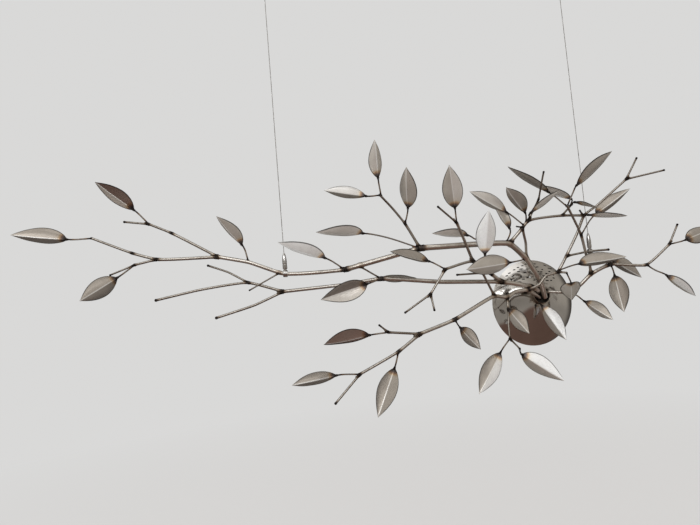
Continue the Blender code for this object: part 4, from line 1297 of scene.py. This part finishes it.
def build_socket(metal):
    """Round cup on the dome, with a polished rim, a weld round its foot and the boughs' feet in it."""
    shell = loft("socket", socket_rings())
    seams = [(on_dome(SOCKET_RADIUS + FOOT_BEAD / 2, FOOT_BEAD, 90), FOOT_BEAD)]
    spots = []
    for name in ("upper", "middle", "lower", "right"):
        start, size = rods[name].joints[0], rods[name].sizes[0]
        centre = Vector((start.x, -SOCKET_FLOOR, start.z))
        seams.append((square_ring(centre, WALLWARD, RIGHTWARD, size + 0.6, BEAD_SIDES), FEET_BEAD))
        spots.append((start, size + 2, 6.0))
    beads = bead_shells("socket_beads", seams, metal)
    piece = melted_together("socket", [shell, beads])
    points = points_of(piece.data)
    # oxide round the boughs' feet, and painted shade inside the bore
    paint(piece.data, "scorch_and_shade", numpy.maximum(scorch_at(points, spots), socket_shade(points)))
    finished(piece, "socket", metal)


# ---------------------------------------------------------------- cables

CABLE_DIAMETER = 1.5
CABLE_LAY = 9.0             # length of one turn of the strands
STRANDS = 6
GRIPPER_RADIUS = 4.6
GRIPPER_NOSE = 14.0
GRIPPER_BARREL = 22.0
CLAMP_WIDTH = 9.0
CLAMP_WALL = 2.4
CLAMP_GAP = 0.6
CLAMP_PLAY = 0.05           # the clamp's bore is this much wider than the rod
FITTING_RADIUS = 9.0
FITTING_HEIGHT = 22.0
FIT_GAP = 0.3
CABLES = {
    "left": (("upper", 10, -3), 694.0),
    "right": (("clamp_twig", 1, 3), 692.0),
}


def build_rope_tree():
    """Geometry nodes: round strands laid in a helix along a line."""
    tree, given = start_tree("wire_rope", "Line", {
        "Strands": STRANDS, "Rope Radius": CABLE_DIAMETER / 2 * MM,
        "Strand Radius": CABLE_DIAMETER / 6 * MM, "Lay": CABLE_LAY * MM})
    steps = stepped_line(tree, given["Line"], arithmetic(tree, 'DIVIDE', given["Lay"], 10.0))
    copies = node(tree, "GeometryNodeDuplicateElements", {"Geometry": steps, "Amount": given["Strands"]},
                  domain='SPLINE').outputs
    travelled = node(tree, "GeometryNodeSplineParameter").outputs["Length"]
    turns = arithmetic(tree, 'DIVIDE', travelled, given["Lay"])
    share = arithmetic(tree, 'DIVIDE', copies["Duplicate Index"], given["Strands"])
    angle = arithmetic(tree, 'MULTIPLY', arithmetic(tree, 'ADD', turns, share), 2 * math.pi)
    reach = arithmetic(tree, 'SUBTRACT', given["Rope Radius"], given["Strand Radius"])
    around = node(tree, "ShaderNodeCombineXYZ", {
        "X": arithmetic(tree, 'MULTIPLY', arithmetic(tree, 'COSINE', angle), reach),
        "Y": arithmetic(tree, 'MULTIPLY', arithmetic(tree, 'SINE', angle), reach)})
    laid = node(tree, "GeometryNodeSetPosition", {
        "Geometry": copies["Geometry"], "Offset": around.outputs[0]})
    rope = swept(tree, laid.outputs[0], 6, given["Strand Radius"], **{"Fill Caps": True})
    return end_tree(tree, given, rope, "Rope")


def turned(name, foot, profile, sides=40):
    """Body turned about an upright axis; profile is (height, radius) from the foot up."""
    turns = [2 * math.pi * k / sides for k in range(sides)]
    return loft(name, [[foot + Vector((radius * math.cos(turn), radius * math.sin(turn), height))
                        for turn in turns] for height, radius in profile])


def unburnt(piece, node_name, material, sharp=38):
    """Finish a piece that no weld has heated."""
    paint(piece.data, "scorch_and_shade", numpy.zeros(len(piece.data.vertices)))
    return finished(piece, node_name, material, sharp)


def build_gripper(name, place, metal):
    """Wire gripper clamped round a rod; gives the point where its cable leaves it."""
    centre, along, radius = spot_on(place)
    bore = radius + CLAMP_PLAY
    outer = radius + CLAMP_GAP + CLAMP_WALL
    side = along.cross(-WALLWARD).normalized()
    half = CLAMP_WIDTH / 2
    rings = []
    for size, shift in ((bore, -half), (outer - 0.5, -half), (outer, -half + 0.5), (outer, half - 0.5),
                        (outer - 0.5, half), (bore, half)):
        rings.append(square_ring(centre + along * shift, along, side, size, 48))
    clamp = loft("gripper_" + name, rings, closed_loop=True)
    foot = centre + Vector((0, 0, outer - 1))
    tip = GRIPPER_BARREL + GRIPPER_NOSE
    wide = GRIPPER_RADIUS
    barrel = turned("barrel", foot, [
        (0, wide * 0.80), (1.2, wide * 0.80), (1.8, wide * 0.62), (3.0, wide * 0.62), (3.6, wide * 0.92),
        (4.6, wide), (GRIPPER_BARREL * 0.55, wide), (GRIPPER_BARREL * 0.58, wide * 0.9),
        (GRIPPER_BARREL * 0.62, wide * 0.9), (GRIPPER_BARREL * 0.65, wide),
        (GRIPPER_BARREL, wide * 0.97), (GRIPPER_BARREL + GRIPPER_NOSE * 0.6, wide * 0.72),
        (tip - 0.8, wide * 0.42), (tip, wide * 0.34)])
    piece = melted_together("gripper_" + name, [clamp, barrel])
    unburnt(piece, "gripper_" + name, metal, sharp=30)
    return foot + Vector((0, 0, tip + FIT_GAP))


def build_fitting(name, seat, metal):
    """Small turned cone that holds the cable's upper end."""
    wide = FITTING_RADIUS
    tall = FITTING_HEIGHT
    fitting = turned("ceiling_fitting_" + name, seat, [
        (0, wide * 0.40), (0.5, wide * 0.45), (tall * 0.30, wide * 0.48), (tall * 0.36, wide * 0.50),
        (tall * 0.52, wide * 0.94), (tall * 0.56, wide), (tall * 0.90, wide), (tall * 0.92, wide * 0.94),
        (tall, wide * 0.94)])
    return unburnt(fitting, "ceiling_fitting_" + name, metal, sharp=30)


def build_cable(name, place, top, metals):
    """One taut wire rope with its gripper on a rod and its ceiling fitting."""
    low = build_gripper(name, place, metals["fitting"])
    high = Vector((low.x, low.y, top - FIT_GAP))
    mesh = bpy.data.meshes.new("cable_" + name)
    mesh.from_pydata([low * MM, high * MM], [(0, 1)], [])
    rope = grown_on("cable_" + name, mesh, rope_tree, metals["cable"])
    unburnt(rope, "cable_" + name, metals["cable"])
    fitting = build_fitting(name, Vector((low.x, low.y, top)), metals["fitting"])


# ---------------------------------------------------------------- assembly

build_stage()
rope_tree = build_rope_tree()
seam_tree = build_seam_tree()
rod_feet = plan_boughs()
metals = {
    "bough": bough_metal(),
    "leaf": leaf_metal(),
    "dome": dome_metal(),
    "socket": plain_metal("socket_steel", (0.36, 0.33, 0.30), (0.60, 0.58, 0.55), 0.18, 0.25, 500),
    "plate": plain_metal("back_plate_steel", (0.30, 0.30, 0.30), (0.42, 0.42, 0.42), 0.32, 0.25, 300),
    "fitting": plain_metal("fitting_steel", (0.55, 0.55, 0.55), (0.68, 0.68, 0.68), 0.12, 0.12, 800),
    "cable": plain_metal("cable_steel", (0.42, 0.42, 0.42), (0.62, 0.62, 0.62), 0.25, 0.2, 900),
}
for cable_name, (gripped, cable_top) in CABLES.items():
    build_cable(cable_name, gripped, cable_top, metals)
for bough_name in BOUGHS:
    build_bough(bough_name, rod_feet, metals["bough"])
for leaf_plan in LEAVES:
    build_leaf(*leaf_plan, metals["leaf"])
build_dome(metals["dome"])
build_back_plate(metals["plate"])
build_socket(metals["socket"])
